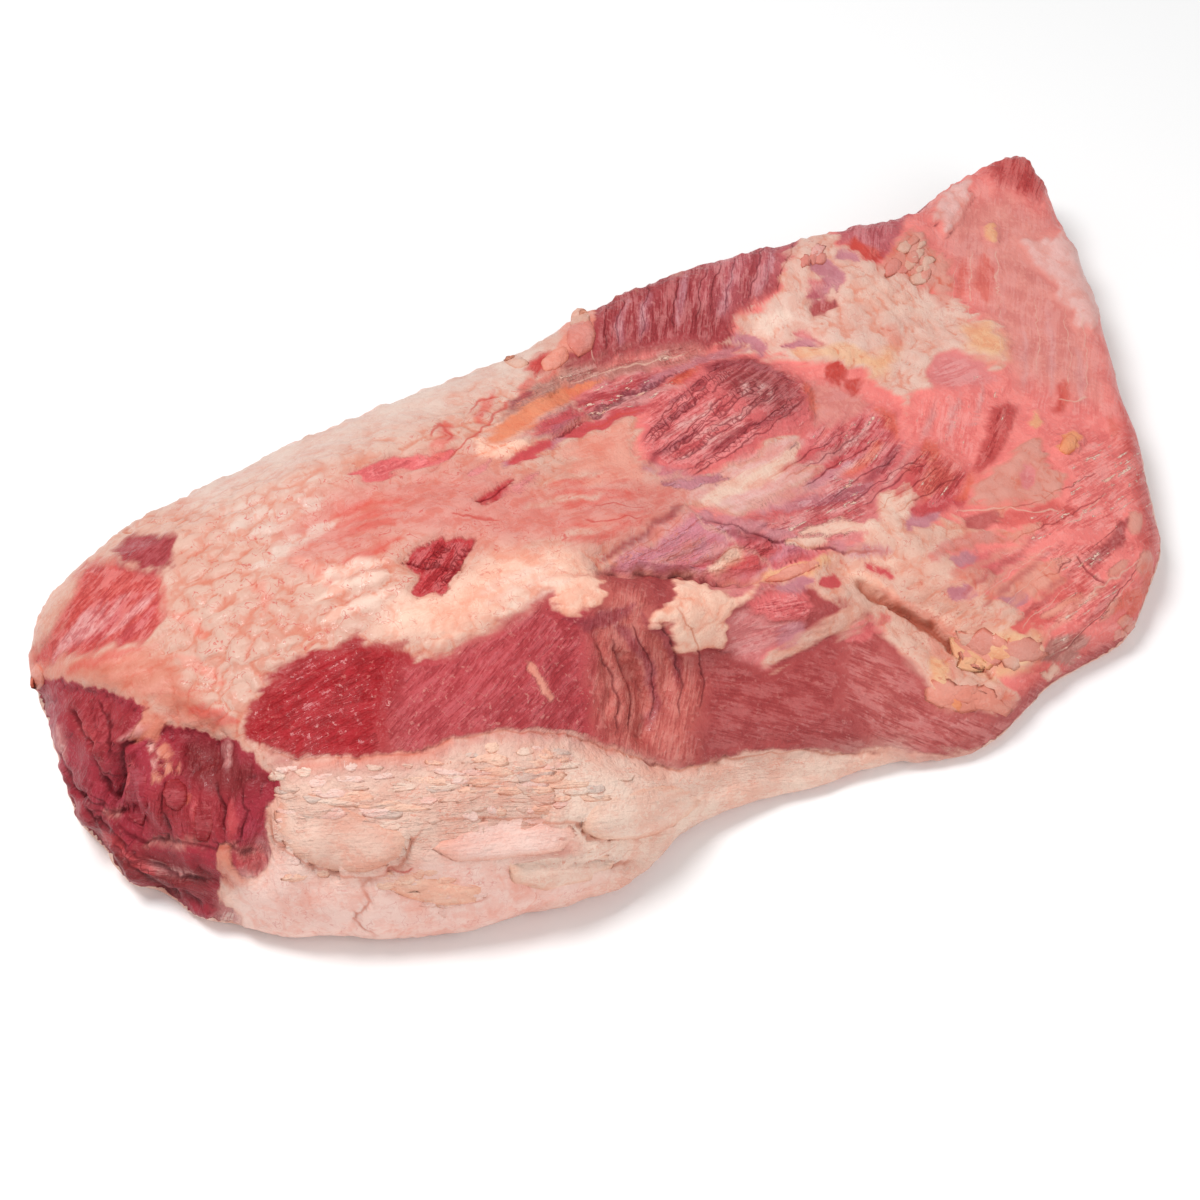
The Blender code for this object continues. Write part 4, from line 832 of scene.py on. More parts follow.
class BrisketStage(bpy.types.PropertyGroup):
    """The floor: its size and its colour."""

    floor: length("Floor", "Side of the square floor", 8.0)
    tone: bpy.props.FloatVectorProperty(
        name="Floor colour", description="Colour of the floor", subtype="COLOR", size=3,
        default=linear("fbfbfb"))


def smoothstep(low, high, values):
    t = np.clip((values - low) / (high - low), 0.0, 1.0)
    return t * t * (3 - 2 * t)


def inside_by(places, outline):
    """How far each place lies inside an outline, negative outside, in the outline's own units."""
    corners = np.array(outline, float)
    nearest = np.full(len(places), 1e9)
    inside = np.zeros(len(places), bool)
    for a, b in zip(corners, np.roll(corners, -1, axis=0)):
        step = b - a
        away = places - a
        t = np.clip(away @ step / (step @ step), 0.0, 1.0)
        nearest = np.minimum(nearest, np.linalg.norm(away - t[:, None] * step, axis=1))
        if step[1]:
            spans = (a[1] > places[:, 1]) != (b[1] > places[:, 1])
            inside ^= spans & (places[:, 0] < a[0] + (places[:, 1] - a[1]) * step[0] / step[1])
    return np.where(inside, nearest, -nearest)


def rough(places, size, seed=0):
    """Smooth noise from -1 to 1 at each place; size is the width of a bump, or one width for each axis."""
    return np.array([noise.noise(Vector(p)) for p in places / np.array(size) + seed * 17.3])


def cells(places, size, seed=0):
    """0 on the border between cells of about this size, rising inside them."""
    near = np.array([noise.voronoi(Vector(p))[0][:2] for p in places / np.array(size) + seed * 11.7])
    return near[:, 1] - near[:, 0]


class PhotoView:
    """The photograph's camera, as three directions and a place."""

    def __init__(self):
        turn, tilt = radians(AZIMUTH), radians(ELEVATION)
        self.back = Vector((sin(turn) * cos(tilt), -cos(turn) * cos(tilt), sin(tilt)))
        self.right = Vector((cos(turn), sin(turn), 0))
        self.up = self.back.cross(self.right)
        self.eye = Vector(TARGET) + self.back * DISTANCE

    def pixels(self, places):
        """Where each place falls in the photograph."""
        away = places - np.array(self.eye)
        depth = -away @ np.array(self.back)
        scale = LENS / SENSOR * PICTURE / depth
        across = PICTURE / 2 + scale * (away @ np.array(self.right))
        down = PICTURE / 2 - scale * (away @ np.array(self.up))
        return np.column_stack([across, down])


def along_line(places, points):
    """How far each place lies from a line, signed by its side, and how far along the line, from 0 to 1."""
    corners = np.array(points, float)
    lengths = np.linalg.norm(np.diff(corners, axis=0), axis=1)
    starts = np.concatenate([[0.0], np.cumsum(lengths)])
    gap = np.full(len(places), 1e9)
    side = np.ones(len(places))
    along = np.zeros(len(places))
    for a, b, start, length in zip(corners, corners[1:], starts, lengths):
        step = b - a
        away = places - a
        t = np.clip(away @ step / length**2, 0.0, 1.0)
        reach = np.linalg.norm(away - t[:, None] * step, axis=1)
        nearer = reach < gap
        gap = np.where(nearer, reach, gap)
        side = np.where(nearer, np.sign(step[0] * away[:, 1] - step[1] * away[:, 0]), side)
        along = np.where(nearer, start + t * length, along)
    return gap * side, along / starts[-1]


def between(count, first, last):
    """Lines in a row from a first to a last one, a little uneven in their spacing."""
    rows = []
    for i in range(count):
        share = (i + 0.35 * sin(5.0 * i)) / (count - 1)
        points = np.array(first) * (1 - share) + np.array(last) * share + (0.0, 2.5 * sin(2.4 * i))
        rows.append([tuple(point) for point in points])
    return rows


class Paint:
    """What the patches and lines say at each point of the skin."""

    TRAITS = ("grain", "flecks", "film", "veins", "flakes", "lobes", "rise", "scraps")
    KINDS = ("crease", "sinew", "vein")
    REACH = 45          # pixels beyond which an outline is not measured
    EDGE = 24           # pixels on both sides of an outline that fray
    FAR = 9.0           # gap to a line that isn't near, in half widths
    LOBE = 9 * MM
    SWIRL = 3 * MM
    # How the drawn outlines bend: in pixels, the width of the bends, and their two seeds
    BENDS = ((4.0, 8 * MM, (1, 2)), (2.5, 3.5 * MM, (3, 4)))
    # How the fibres sway: in mm, the width of the bends, and the seed
    SWAYS = ((1.2, 20 * MM, 23), (0.25, 7 * MM, 24))
    # Broad, wide and mottled clouds of colour: their width and seed
    CLOUDS = ((26 * MM, 40), (10 * MM, 41), (4.5 * MM, 42))
    # Along the meat: the height of its lean side, and how deep the lean reaches below that
    TOP = ((-0.25, -0.04, 0.06, 0.25), (0.068, 0.075, 0.070, 0.042))
    DEPTH = ((-0.10, -0.03, 0.10, 0.25), (-0.010, 0.016, 0.022, 0.026))
    HIDDEN_TRAITS = dict(
        grain=0.5, flecks=0.1, film=0.3, flakes=0.25, lobes=0.4, veins=0.3, rise=0.0, scraps=0.0)

    def __init__(self, places, normals, patches=PATCHES, streaks=STREAKS, lines=LINES):
        view = PhotoView()
        self.places = places
        count = len(places)
        self.sway = sum(much * rough(places, size, seed) for much, size, seed in self.SWAYS)
        self.pixels = self.drawn = view.pixels(places)
        for much, size, seeds in self.BENDS:
            self.drawn = self.drawn + much * np.column_stack([rough(places, size, seed) for seed in seeds])
        self.facing = normals @ np.array(view.back)
        self.upward = normals[:, 2]
        self.seen = smoothstep(-0.10, 0.15, self.facing)
        swirl = np.column_stack([rough(places, 2 * self.SWIRL, seed) for seed in (13, 14, 15)])
        self.lobe_middle = np.minimum(cells(places + self.SWIRL * swirl, self.LOBE, 6), 0.5) / 0.5
        self.lean = np.full(count, -float(self.REACH))
        self.blur = np.full(count, 1.0)
        self.traits = {name: np.zeros(count) for name in self.TRAITS}
        self.traits["flakes"][:] = 1.0
        self.traits["veins"][:] = 0.15
        self.lean_tint = np.tile(linear(TINTS["plain lean"]), (count, 1))
        self.fat_tint = np.tile(linear(TINTS["front cream"]), (count, 1))
        self.angle = np.full(count, 4.0)
        for kind, tint, soft, angle, traits, outline in patches.values():
            self.add(kind, tint, soft, angle, traits, self.within(outline))
        for kind, tint, width, *paths in streaks:
            for points in paths:
                self.streak(kind, tint, width, points)
        for kind, tint, width, rows, first, last in ROWS if streaks else ():
            for points in between(rows, first, last):
                self.streak(kind, tint, width, points)
        self.gaps = {kind: np.full(count, self.FAR) for kind in self.KINDS}
        self.marks = {kind: np.zeros(count) for kind in self.KINDS}
        self.carved = np.zeros(count)
        for kind, width, depth, lip, points in lines.values():
            self.draw(kind, width, depth, lip, points)
        for kind, width, depth, lip, rows, first, last in RIDGES if lines else ():
            for i, points in enumerate(between(rows, first, last)):
                self.draw(kind, width * (0.8 + 0.3 * sin(3.1 * i)), depth, lip, points)
        self.hide()
        self.clouds = np.column_stack([0.5 + 0.4 * rough(places, size, seed) for size, seed in self.CLOUDS])

    def comb(self, angle):
        """Across and along the fibres, in millimetres."""
        x, y = self.pixels[:, 0] / PIXELS_PER_MM, -self.pixels[:, 1] / PIXELS_PER_MM
        turn = np.radians(angle)
        across = -x * np.sin(turn) + y * np.cos(turn) + self.sway
        along = x * np.cos(turn) + y * np.sin(turn)
        return np.column_stack([across, along, np.zeros(len(x))])

    def close_to(self, outline):
        """The points of the skin that an outline can reach."""
        low, high = np.min(outline, axis=0) - self.REACH, np.max(outline, axis=0) + self.REACH
        return np.flatnonzero(np.all((self.drawn > low) & (self.drawn < high), axis=1))

    def within(self, outline):
        """How far each point lies inside an outline, in pixels."""
        near = self.close_to(outline)
        inside = np.full(len(self.drawn), -float(self.REACH))
        inside[near] = np.maximum(inside_by(self.drawn[near], outline), -self.REACH)
        return inside

    def along(self, width, points):
        """How far each point lies inside a streak that narrows to both ends."""
        near = self.close_to(points)
        inside = np.full(len(self.drawn), -float(self.REACH))
        gap, share = along_line(self.drawn[near], points)
        swell = np.sqrt(np.clip(4 * share * (1 - share), 0.0, 1.0))
        inside[near] = np.maximum(width * (1.4 * swell - 0.2) - np.abs(gap), -self.REACH)
        return inside

    def add(self, kind, tint, soft, angle, traits, inside, strength=1.0):
        """Lays one patch or streak over what is there; inside says how far in each point lies, in pixels."""
        edge = np.flatnonzero(np.abs(inside) < self.EDGE)
        comb = self.comb(self.angle if angle is None else angle)[edge]
        fray = traits.get("fray", 5.0)
        coarse, fine = rough(comb, (2.6, 15.0, 1.0), 21), rough(comb, (1.2, 6.0, 1.0), 22)
        inside[edge] += fray * coarse + 0.5 * fray * fine
        before = self.lean
        if kind == "lean":
            self.lean = np.maximum(self.lean, inside)
        if kind == "fat":
            self.lean = np.minimum(self.lean, -inside)
        if kind != "tint":
            self.blur = np.where(before == self.lean, self.blur, 0.5 + 0.16 * soft)
        share = smoothstep(-soft, soft, inside) if kind == "tint" else smoothstep(-2 * soft, 0.0, inside)
        share *= strength
        on_lean = {"lean": 1.0, "fat": 0.0}.get(kind, smoothstep(-6, 2, self.lean))
        colour = np.array(linear(TINTS[tint]))
        self.lean_tint += (share * on_lean)[:, None] * (colour - self.lean_tint)
        self.fat_tint += (share * (1 - on_lean))[:, None] * (colour - self.fat_tint)
        whole = kind != "tint" and len(traits) > 1
        for name in self.TRAITS:
            if name in traits or (whole and name != "rise"):
                self.traits[name] += share * (traits.get(name, 0.0) - self.traits[name])
        if angle is not None:
            self.angle = np.where(inside > -soft / 2, angle, self.angle)

    def streak(self, kind, tint, width, points):
        """Adds a streak with frayed edges; one that only tints lets a quarter of the old tint through."""
        strength = 0.75 if kind == "tint" else 1.0
        self.add(kind, tint, 2.4, None, dict(fray=0.7 * width), self.along(width, points), strength)

    def draw(self, kind, width, depth, lip, points):
        """Carves one line into the skin, and marks its kind for the material."""
        gap, along = along_line(self.drawn, points)
        gap /= width
        ends = smoothstep(0.0, 0.15, along) * smoothstep(1.0, 0.85, along) * self.seen
        self.carved -= ends * depth * np.exp(-(gap**2))
        self.carved += ends * lip * np.where(gap < 0, 1 - np.exp(-(gap**2)), 0.0) * np.exp(-np.abs(gap) / 6)
        if kind not in self.KINDS:
            return
        mark = smoothstep(0.0, 0.10, along) * smoothstep(1.0, 0.90, along)
        mark = mark * smoothstep(3.5, 2.0, np.abs(gap)) * self.seen
        closer = np.abs(gap) < np.abs(self.gaps[kind])
        self.gaps[kind] = np.where(closer, gap, self.gaps[kind])
        self.marks[kind] = np.where(closer, mark, self.marks[kind])

    def hide(self):
        """The sides that the photograph doesn't show: lean over the fat cap, and fat below it."""
        x, y, z = self.places.T
        top = np.interp(x, *self.TOP)
        layer = np.interp(x, *self.DEPTH)
        wobble = 4 * MM * rough(self.places, 30 * MM, 5)
        hidden = (z - top + layer + wobble) / MM * PIXELS_PER_MM
        rest = 1 - self.seen
        self.lean += rest * (hidden - self.lean)
        for colours, tint in ((self.lean_tint, "rim plum"), (self.fat_tint, "pink cream")):
            colours += rest[:, None] * (np.array(linear(TINTS[tint])) - colours)
        for name, value in self.HIDDEN_TRAITS.items():
            self.traits[name] += rest * (value - self.traits[name])

    def find_seams(self, edges):
        """Where two directions of fibres meet; the patterns that follow the fibres fade out there."""
        self.combed = np.ones(len(self.places))
        self.combed[edges[self.angle[edges[:, 0]] != self.angle[edges[:, 1]]].ravel()] = 0.0
        self.combed[edges[self.combed[edges].min(axis=1) == 0.0].ravel()] = 0.0


def mesh_points(mesh):
    places = np.empty(len(mesh.vertices) * 3)
    mesh.vertices.foreach_get("co", places)
    normals = np.empty(len(mesh.vertices) * 3)
    mesh.vertex_normals.foreach_get("vector", normals)
    return places.reshape(-1, 3), normals.reshape(-1, 3)


def dense_copy(node, levels):
    """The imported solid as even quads, split and rounded; its flat underside becomes one face again."""
    bm = bmesh.new()
    bm.from_mesh(node.data)
    bmesh.ops.remove_doubles(bm, verts=bm.verts, dist=0.01 * MM)
    bm.normal_update()
    underside = [face for face in bm.faces
                 if face.normal.z < -0.999 and face.calc_center_median().z < 0.1 * MM]
    bmesh.ops.delete(bm, geom=underside, context="FACES")
    bmesh.ops.join_triangles(bm, faces=bm.faces, angle_face_threshold=pi, angle_shape_threshold=pi)
    coarse = bpy.data.meshes.new("coarse")
    bm.to_mesh(coarse)
    bm.free()
    obj = bpy.data.objects.new("meat_skin", coarse)
    bpy.context.scene.collection.objects.link(obj)
    split = obj.modifiers.new("Split", "SUBSURF")
    split.levels = split.render_levels = levels
    obj.data = bpy.data.meshes.new_from_object(obj.evaluated_get(bpy.context.evaluated_depsgraph_get()))
    obj.data.name = "meat_skin"
    obj.modifiers.clear()
    bpy.data.meshes.remove(coarse)
    bm = bmesh.new()
    bm.from_mesh(obj.data)
    bmesh.ops.holes_fill(bm, edges=[edge for edge in bm.edges if edge.is_boundary], sides=0)
    bmesh.ops.recalc_face_normals(bm, faces=bm.faces)
    bm.to_mesh(obj.data)
    bm.free()
    return obj


def relief(paint, sizes):
    """How far each point of the skin stands out, in metres."""
    places, traits = paint.places, paint.traits
    lean = smoothstep(-5, 5, paint.lean)
    fat = 1 - lean
    comb = paint.comb(paint.angle) * MM
    out = sizes.fat_step * (fat - 0.5)
    out += (traits["rise"] + paint.carved) * MM
    out += fat * traits["lobes"] * sizes.lobe_height * (1.4 * np.sqrt(paint.lobe_middle) - 0.9)
    out += fat * 0.5 * MM * rough(places, 14 * MM, 7)
    ledges = rough(comb, (0.6 * sizes.flake, 3 * sizes.flake, 1.0), 8)
    ledges += 0.5 * rough(comb, (0.3 * sizes.flake, sizes.flake, 1.0), 9)
    out += fat * traits["flakes"] * sizes.flake_height * ledges
    furrows = rough(comb, (sizes.furrow, 12 * sizes.furrow, 1.0), 10)
    out += (lean + 0.5 * fat) * traits["grain"] * sizes.furrow_depth * (0.4 - np.abs(furrows) * 1.6)
    out += lean * 0.5 * MM * rough(comb, (9 * MM, 22 * MM, 1.0), 11)
    rim = smoothstep(0.75, 0.1, np.abs(paint.facing)) * smoothstep(0.0, 0.08, places[:, 1])
    rim *= smoothstep(0.25, 0.6, paint.upward)
    out += rim * sizes.rim_rag * (rough(places, 4 * MM, 27) + rough(places, 9 * MM, 28))
    cut = smoothstep(-4, 4, inside_by(paint.drawn, PATCHES["end cut"][-1])) * paint.seen * lean
    bend = np.column_stack([rough(comb, (9 * MM, 14 * MM, 1.0), seed) for seed in (18, 19, 20)])
    chunks = cells((comb + 0.5 * sizes.chunk * bend) * (1.0, 0.45, 0.0), sizes.chunk, 12)
    out += cut * sizes.chunk_depth * (smoothstep(0.0, 0.35, chunks) - 0.8)
    return out * smoothstep(0.5 * MM, 5 * MM, places[:, 2])


def add(tree, kind, inputs=None, **settings):
    """Adds a node with its settings, and its inputs as values or as sockets to link from."""
    made = tree.nodes.new("ShaderNode" + kind)
    for name, value in settings.items():
        setattr(made, name, value)
    for key, value in (inputs or {}).items():
        if isinstance(value, bpy.types.NodeSocket):
            tree.links.new(value, made.inputs[key])
        else:
            made.inputs[key].default_value = value
    return made


class Shade:
    """Short words for the sums, mixes and patterns of one material."""

    def __init__(self, material):
        material.use_nodes = True
        self.tree = material.node_tree
        self.tree.nodes.clear()

    def sum(self, operation, *values):
        return add(self.tree, "Math", dict(enumerate(values)), operation=operation).outputs[0]

    def times(self, first, *others):
        for other in others:
            first = self.sum("MULTIPLY", first, other)
        return first

    def blend(self, share, first, second, blend_type="MIX"):
        inputs = {0: share, 6: first, 7: second}
        return add(self.tree, "Mix", inputs, data_type="RGBA", blend_type=blend_type).outputs[2]

    def tone(self, tint, name):
        return self.blend(1.0, tint, (*TONES[name], 1.0), "MULTIPLY")

    def layers(self, tint, colour, *steps):
        """Lays tones of a tint over a colour, each with its share."""
        for share, name in steps:
            colour = self.blend(share, colour, self.tone(tint, name))
        return colour

    def ramp(self, value, low, high, to_low=0.0, to_high=1.0):
        inputs = {0: value, 1: low, 2: high, 3: to_low, 4: to_high}
        return add(self.tree, "MapRange", inputs, interpolation_type="SMOOTHSTEP").outputs[0]

    def noise(self, vector, size, detail=2.0, roughness=0.5, shift=0.0):
        """Noise with bumps of this size; three sizes stretch it."""
        sizes = size if isinstance(size, tuple) else (size,) * 3
        scaling = {0: vector, 1: [1 / s for s in sizes], 2: (shift,) * 3}
        scaled = add(self.tree, "VectorMath", scaling, operation="MULTIPLY_ADD")
        inputs = {"Vector": scaled.outputs[0], "Scale": 1.0, "Detail": detail, "Roughness": roughness}
        return add(self.tree, "TexNoise", inputs).outputs[0]

    def thread(self, pattern, width, level=0.5):
        """Thin lines where a pattern crosses a level."""
        return self.ramp(self.sum("ABSOLUTE", self.sum("SUBTRACT", pattern, level)), 0.0, width, 1.0, 0.0)

    def attribute(self, name, output="Vector"):
        return add(self.tree, "Attribute", attribute_name=name).outputs[output]

    def parts(self, name):
        return list(add(self.tree, "SeparateXYZ", {0: self.attribute(name)}).outputs)


def rgba(name):
    return (*linear(TINTS[name]), 1.0)


# Patterns across and along the fibres: their three widths in mm, and a shift that tells them apart
FIBRE_PATTERNS = (((2.4, 11.0, 1.0), 0.0), ((0.8, 9.0, 1.0), 3.0), ((4.5, 13.0, 1.0), 6.0))
SWIRL_WIDTH = 8 * MM


def raw_meat():
    """Raw beef: moist muscle and fat. Fibre bundles 1 to 2 mm wide comb the lean, thread-fine vessels cross
    the fat, and a wet film gives both a soft gloss."""
    material = bpy.data.materials.new(MEAT)
    s = Shade(material)
    tree = s.tree
    place = add(tree, "TexCoord").outputs["Object"]
    fibre = s.attribute("fibre")
    lean = s.attribute("lean", "Fac")
    blur = s.attribute("blur", "Fac")
    hollow = s.attribute("hollow", "Fac")
    middle = s.attribute("lobe_middle", "Fac")
    grain, flecks, film = s.parts("combing")
    veins, flakes, lobes = s.parts("fatness")
    gaps = s.parts("line_gaps")
    marks = s.parts("line_marks")
    crease, sinew, vein = [
        s.times(s.ramp(s.sum("ABSOLUTE", gap), 0.0, 1.0, 1.0, 0.0), mark) for gap, mark in zip(gaps, marks)]

    broad, wide, mottle = s.parts("clouds")
    scraps = s.attribute("scraps", "Fac")
    combed = s.attribute("combed", "Fac")
    scuffs = s.noise(place, 1.8 * MM, 2.0, 0.6)
    along_fibres = []
    for size, shift in FIBRE_PATTERNS:
        pattern = s.sum("SUBTRACT", s.noise(fibre, size, 3.0, 0.62, shift), 0.5)
        along_fibres.append(s.sum("MULTIPLY_ADD", pattern, combed, 0.5))
    torn, strand, cloud = along_fibres
    fine = s.sum("SUBTRACT", strand, 0.5)
    grit = s.sum("SUBTRACT", scuffs, 0.5)
    streaky = s.sum("MULTIPLY_ADD", fine, 0.45, s.sum("MULTIPLY_ADD", grit, 0.15, cloud))
    shreds = s.sum("MULTIPLY_ADD", fine, 0.45, s.sum("MULTIPLY_ADD", grit, 0.35, torn))
    swirl = add(tree, "VectorMath", {
        0: add(tree, "TexNoise", {"Vector": place, "Scale": 1 / SWIRL_WIDTH, "Detail": 2.0}).outputs["Color"],
        1: (SWIRL_WIDTH,) * 3, 2: place}, operation="MULTIPLY_ADD").outputs[0]
    curls = s.noise(swirl, 7 * MM, 2.0, 0.6, 9.0)

    frayed = s.sum("ADD", s.times(grit, 1.6), s.times(fine, 2.4))
    edge = s.sum("ADD", lean, frayed)
    is_lean = s.ramp(s.sum("DIVIDE", edge, blur), -1.0, 1.0)
    margin = s.ramp(s.sum("ABSOLUTE", edge), 0.0, 2.6, 1.0, 0.0)
    level = s.sum("MULTIPLY_ADD", scraps, -0.24, 0.72)
    scrap = s.times(s.ramp(s.sum("SUBTRACT", shreds, level), 0.0, 0.03), s.ramp(scraps, 0.05, 0.20))
    is_lean = s.times(is_lean, s.sum("SUBTRACT", 1.0, scrap))

    fat_tint = s.attribute("fat_tint", "Color")
    fat = s.layers(
        fat_tint, fat_tint,
        (s.ramp(wide, 0.38, 0.62, 0.0, 0.70), "blushing fat"),
        (s.ramp(broad, 0.48, 0.60, 0.0, 0.70), "milky fat"),
        (s.ramp(s.sum("ADD", mottle, grit), 0.36, 0.44, 0.40, 0.0), "mottled fat"),
        (s.ramp(s.sum("SUBTRACT", mottle, grit), 0.56, 0.62, 0.0, 0.55), "pale fat"),
        # painted light: the middles of the lobes are lighter
        (s.times(s.ramp(middle, 0.2, 0.8, 0.0, 0.60), lobes), "painted light on fat lobes"),
        (s.times(s.ramp(middle, 0.0, 0.24, 0.95, 0.0), lobes, s.ramp(wide, 0.34, 0.50)), "seam of fat"),
        (s.times(s.ramp(curls, 0.53, 0.64), veins, 0.60), "curl in fat"))
    vessel = s.times(s.thread(curls, 0.014), s.ramp(cloud, 0.42, 0.54), veins)
    fat = s.blend(s.times(vessel, 0.80), fat, rgba("membrane red"))
    fat = s.layers(
        fat_tint, fat,
        (s.times(s.ramp(streaky, 0.40, 0.46, 0.55, 0.0), grain), "dark strand of fat"),
        (s.times(s.ramp(streaky, 0.54, 0.60, 0.0, 0.65), grain), "light strand of fat"),
        (s.times(s.ramp(shreds, 0.54, 0.60, 0.0, 0.6), flakes), "shred of fat"))
    tear = s.times(s.thread(torn, 0.022, 0.53), flakes, s.ramp(curls, 0.46, 0.54))
    fat = s.blend(s.times(tear, 0.75), fat, s.tone(rgba("orange fat"), "tear in fat"))

    lean_tint = s.attribute("lean_tint", "Color")
    muscle = s.layers(
        lean_tint, lean_tint,
        (s.ramp(wide, 0.38, 0.60, 0.0, 0.55), "cloudy lean"),
        (s.ramp(s.sum("ADD", mottle, grit), 0.54, 0.60, 0.0, 0.30), "mottled lean"),
        (s.times(s.ramp(streaky, 0.52, 0.58, 0.0, 0.85), grain), "light strand of lean"),
        (s.times(s.ramp(streaky, 0.42, 0.47, 0.85, 0.0), grain), "dark strand of lean"),
        (s.times(s.ramp(shreds, 0.53, 0.60, 0.0, 0.60), grain), "light strand of lean"),
        (s.times(s.ramp(fine, -0.12, -0.05, 0.70, 0.0), grain), "dark strand of lean"))
    fleck = s.times(s.ramp(scuffs, 0.62, 0.67), s.ramp(wide, 0.44, 0.56, 0.3, 1.0), flecks)
    lace = s.times(s.thread(curls, 0.010), s.ramp(cloud, 0.46, 0.56), flecks)
    muscle = s.blend(s.times(fleck, 0.55), muscle, rgba("point pink"))
    muscle = s.blend(s.times(lace, 0.50), muscle, rgba("point pink"))
    veil = s.times(film, s.ramp(streaky, 0.47, 0.56, 0.05, 0.65))
    muscle = s.blend(veil, muscle, rgba("veil"))

    colour = s.blend(is_lean, fat, muscle)
    rosy = s.blend(is_lean, s.tone(fat_tint, "margin of fat"), s.tone(lean_tint, "margin of lean"))
    colour = s.blend(s.times(margin, 0.35), colour, rosy)
    # Painted shade: hollows and creases darken towards a deeper tone of the fat or the lean
    shade = s.blend(is_lean, s.tone(fat_tint, "painted shade of fat"), s.tone(lean_tint, "painted shade of lean"))
    colour = s.blend(s.ramp(hollow, 0.35, 2.6, 0.0, 0.75), colour, shade)
    colour = s.blend(s.times(vein, 0.75), colour, rgba("bright red"))
    colour = s.blend(s.times(sinew, 0.70), colour, rgba("bright fat"))
    colour = s.blend(s.times(crease, 0.82), colour, shade)

    fat_bumps = s.sum("MULTIPLY_ADD", shreds, s.times(flakes, 1.8), s.times(scuffs, 0.5))
    lean_bumps = s.sum("MULTIPLY_ADD", shreds, s.times(grain, 2.2), s.times(scuffs, 0.4))
    height = add(tree, "Mix", {0: is_lean, 2: fat_bumps, 3: lean_bumps}, data_type="FLOAT").outputs[0]
    bump = add(tree, "Bump", {"Strength": 0.8, "Distance": 1.1 * MM, "Height": height})
    skin = add(tree, "BsdfPrincipled", {
        "Base Color": colour, "Roughness": s.ramp(mottle, 0.3, 0.7, 0.34, 0.52), "Normal": bump.outputs[0],
        "IOR": 1.33, "Specular IOR Level": 0.35, "Coat Roughness": 0.10,
        "Coat Weight": s.ramp(s.sum("ADD", grit, fine), 0.10, 0.20, 0.02, 0.25)})
    add(tree, "OutputMaterial", {"Surface": skin.outputs[0]})
    return material


def put(mesh, name, kind, values):
    """Stores one value for each point of a mesh."""
    layer = mesh.attributes.new(name, kind, "POINT")
    field = {"FLOAT": "value", "FLOAT_VECTOR": "vector", "FLOAT_COLOR": "color"}[kind]
    layer.data.foreach_set(field, np.ascontiguousarray(values, dtype=np.float32).ravel())


def mesh_edges(mesh):
    edges = np.empty(len(mesh.edges) * 2, dtype=np.int32)
    mesh.edges.foreach_get("vertices", edges)
    return edges.reshape(-1, 2)


def hollows(edges, places, normals):
    """How deep each point lies under the middle of its neighbours, in millimetres."""
    total = np.zeros_like(places)
    count = np.zeros(len(places))
    for a, b in ((0, 1), (1, 0)):
        np.add.at(total, edges[:, a], places[edges[:, b]])
        np.add.at(count, edges[:, a], 1)
    return ((total / count[:, None] - places) * normals).sum(axis=1) / MM


def dress(piece, paint, hollow):
    """Gives a piece its painted values and the one material, and lets it ride with the meat."""
    mesh = piece.data
    put(mesh, "lean", "FLOAT", paint.lean / PIXELS_PER_MM)
    put(mesh, "blur", "FLOAT", paint.blur)
    put(mesh, "lobe_middle", "FLOAT", paint.lobe_middle)
    put(mesh, "combed", "FLOAT", paint.combed)
    put(mesh, "scraps", "FLOAT", paint.traits["scraps"])
    # how deep each point lies in a hollow, which the material darkens as painted shade
    put(mesh, "hollow", "FLOAT", hollow)
    put(mesh, "clouds", "FLOAT_VECTOR", paint.clouds)
    put(mesh, "fibre", "FLOAT_VECTOR", paint.comb(paint.angle))
    for name, colours in (("lean_tint", paint.lean_tint), ("fat_tint", paint.fat_tint)):
        put(mesh, name, "FLOAT_COLOR", np.column_stack([colours, np.ones(len(colours))]))
    for name, values in (("line_gaps", paint.gaps), ("line_marks", paint.marks)):
        put(mesh, name, "FLOAT_VECTOR", np.column_stack([values[kind] for kind in paint.KINDS]))
    for name, traits in (("combing", ("grain", "flecks", "film")), ("fatness", ("veins", "flakes", "lobes"))):
        put(mesh, name, "FLOAT_VECTOR", np.column_stack([paint.traits[trait] for trait in traits]))
    mesh.materials.clear()
    mesh.materials.append(bpy.data.materials.get(MEAT) or raw_meat())
    mesh.shade_smooth()
    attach(piece, "root")


class Perch:
    """Finds the place on the skin that lies behind a point of the photograph."""

    def __init__(self, skin):
        bm = bmesh.new()
        bm.from_mesh(skin.data)
        self.tree = BVHTree.FromBMesh(bm)
        bm.free()
        self.view = PhotoView()

    def ray(self, pixel):
        scale = SENSOR / LENS / PICTURE
        across, up = (pixel[0] - PICTURE / 2) * scale, (PICTURE / 2 - pixel[1]) * scale
        return self.view.right * across + self.view.up * up - self.view.back

    def find(self, pixel):
        place, normal, _, _ = self.tree.ray_cast(self.view.eye, self.ray(pixel).normalized())
        return place, normal

    def nearest(self, pixel):
        """The first place on the skin on the way from a point of the picture to its middle."""
        inward = np.array([PICTURE / 2, PICTURE / 2]) - pixel
        inward /= np.linalg.norm(inward)
        for step in range(0, 40, 2):
            place, normal = self.find(pixel + inward * step)
            if place is not None:
                return place, normal
        raise RuntimeError("a lump lies beside the meat")

    def beside(self, pixel, near):
        """The place behind a point that misses the meat, as far away as a place near it."""
        depth = (near - self.view.eye) @ -self.view.back
        return self.view.eye + self.ray(pixel) * depth


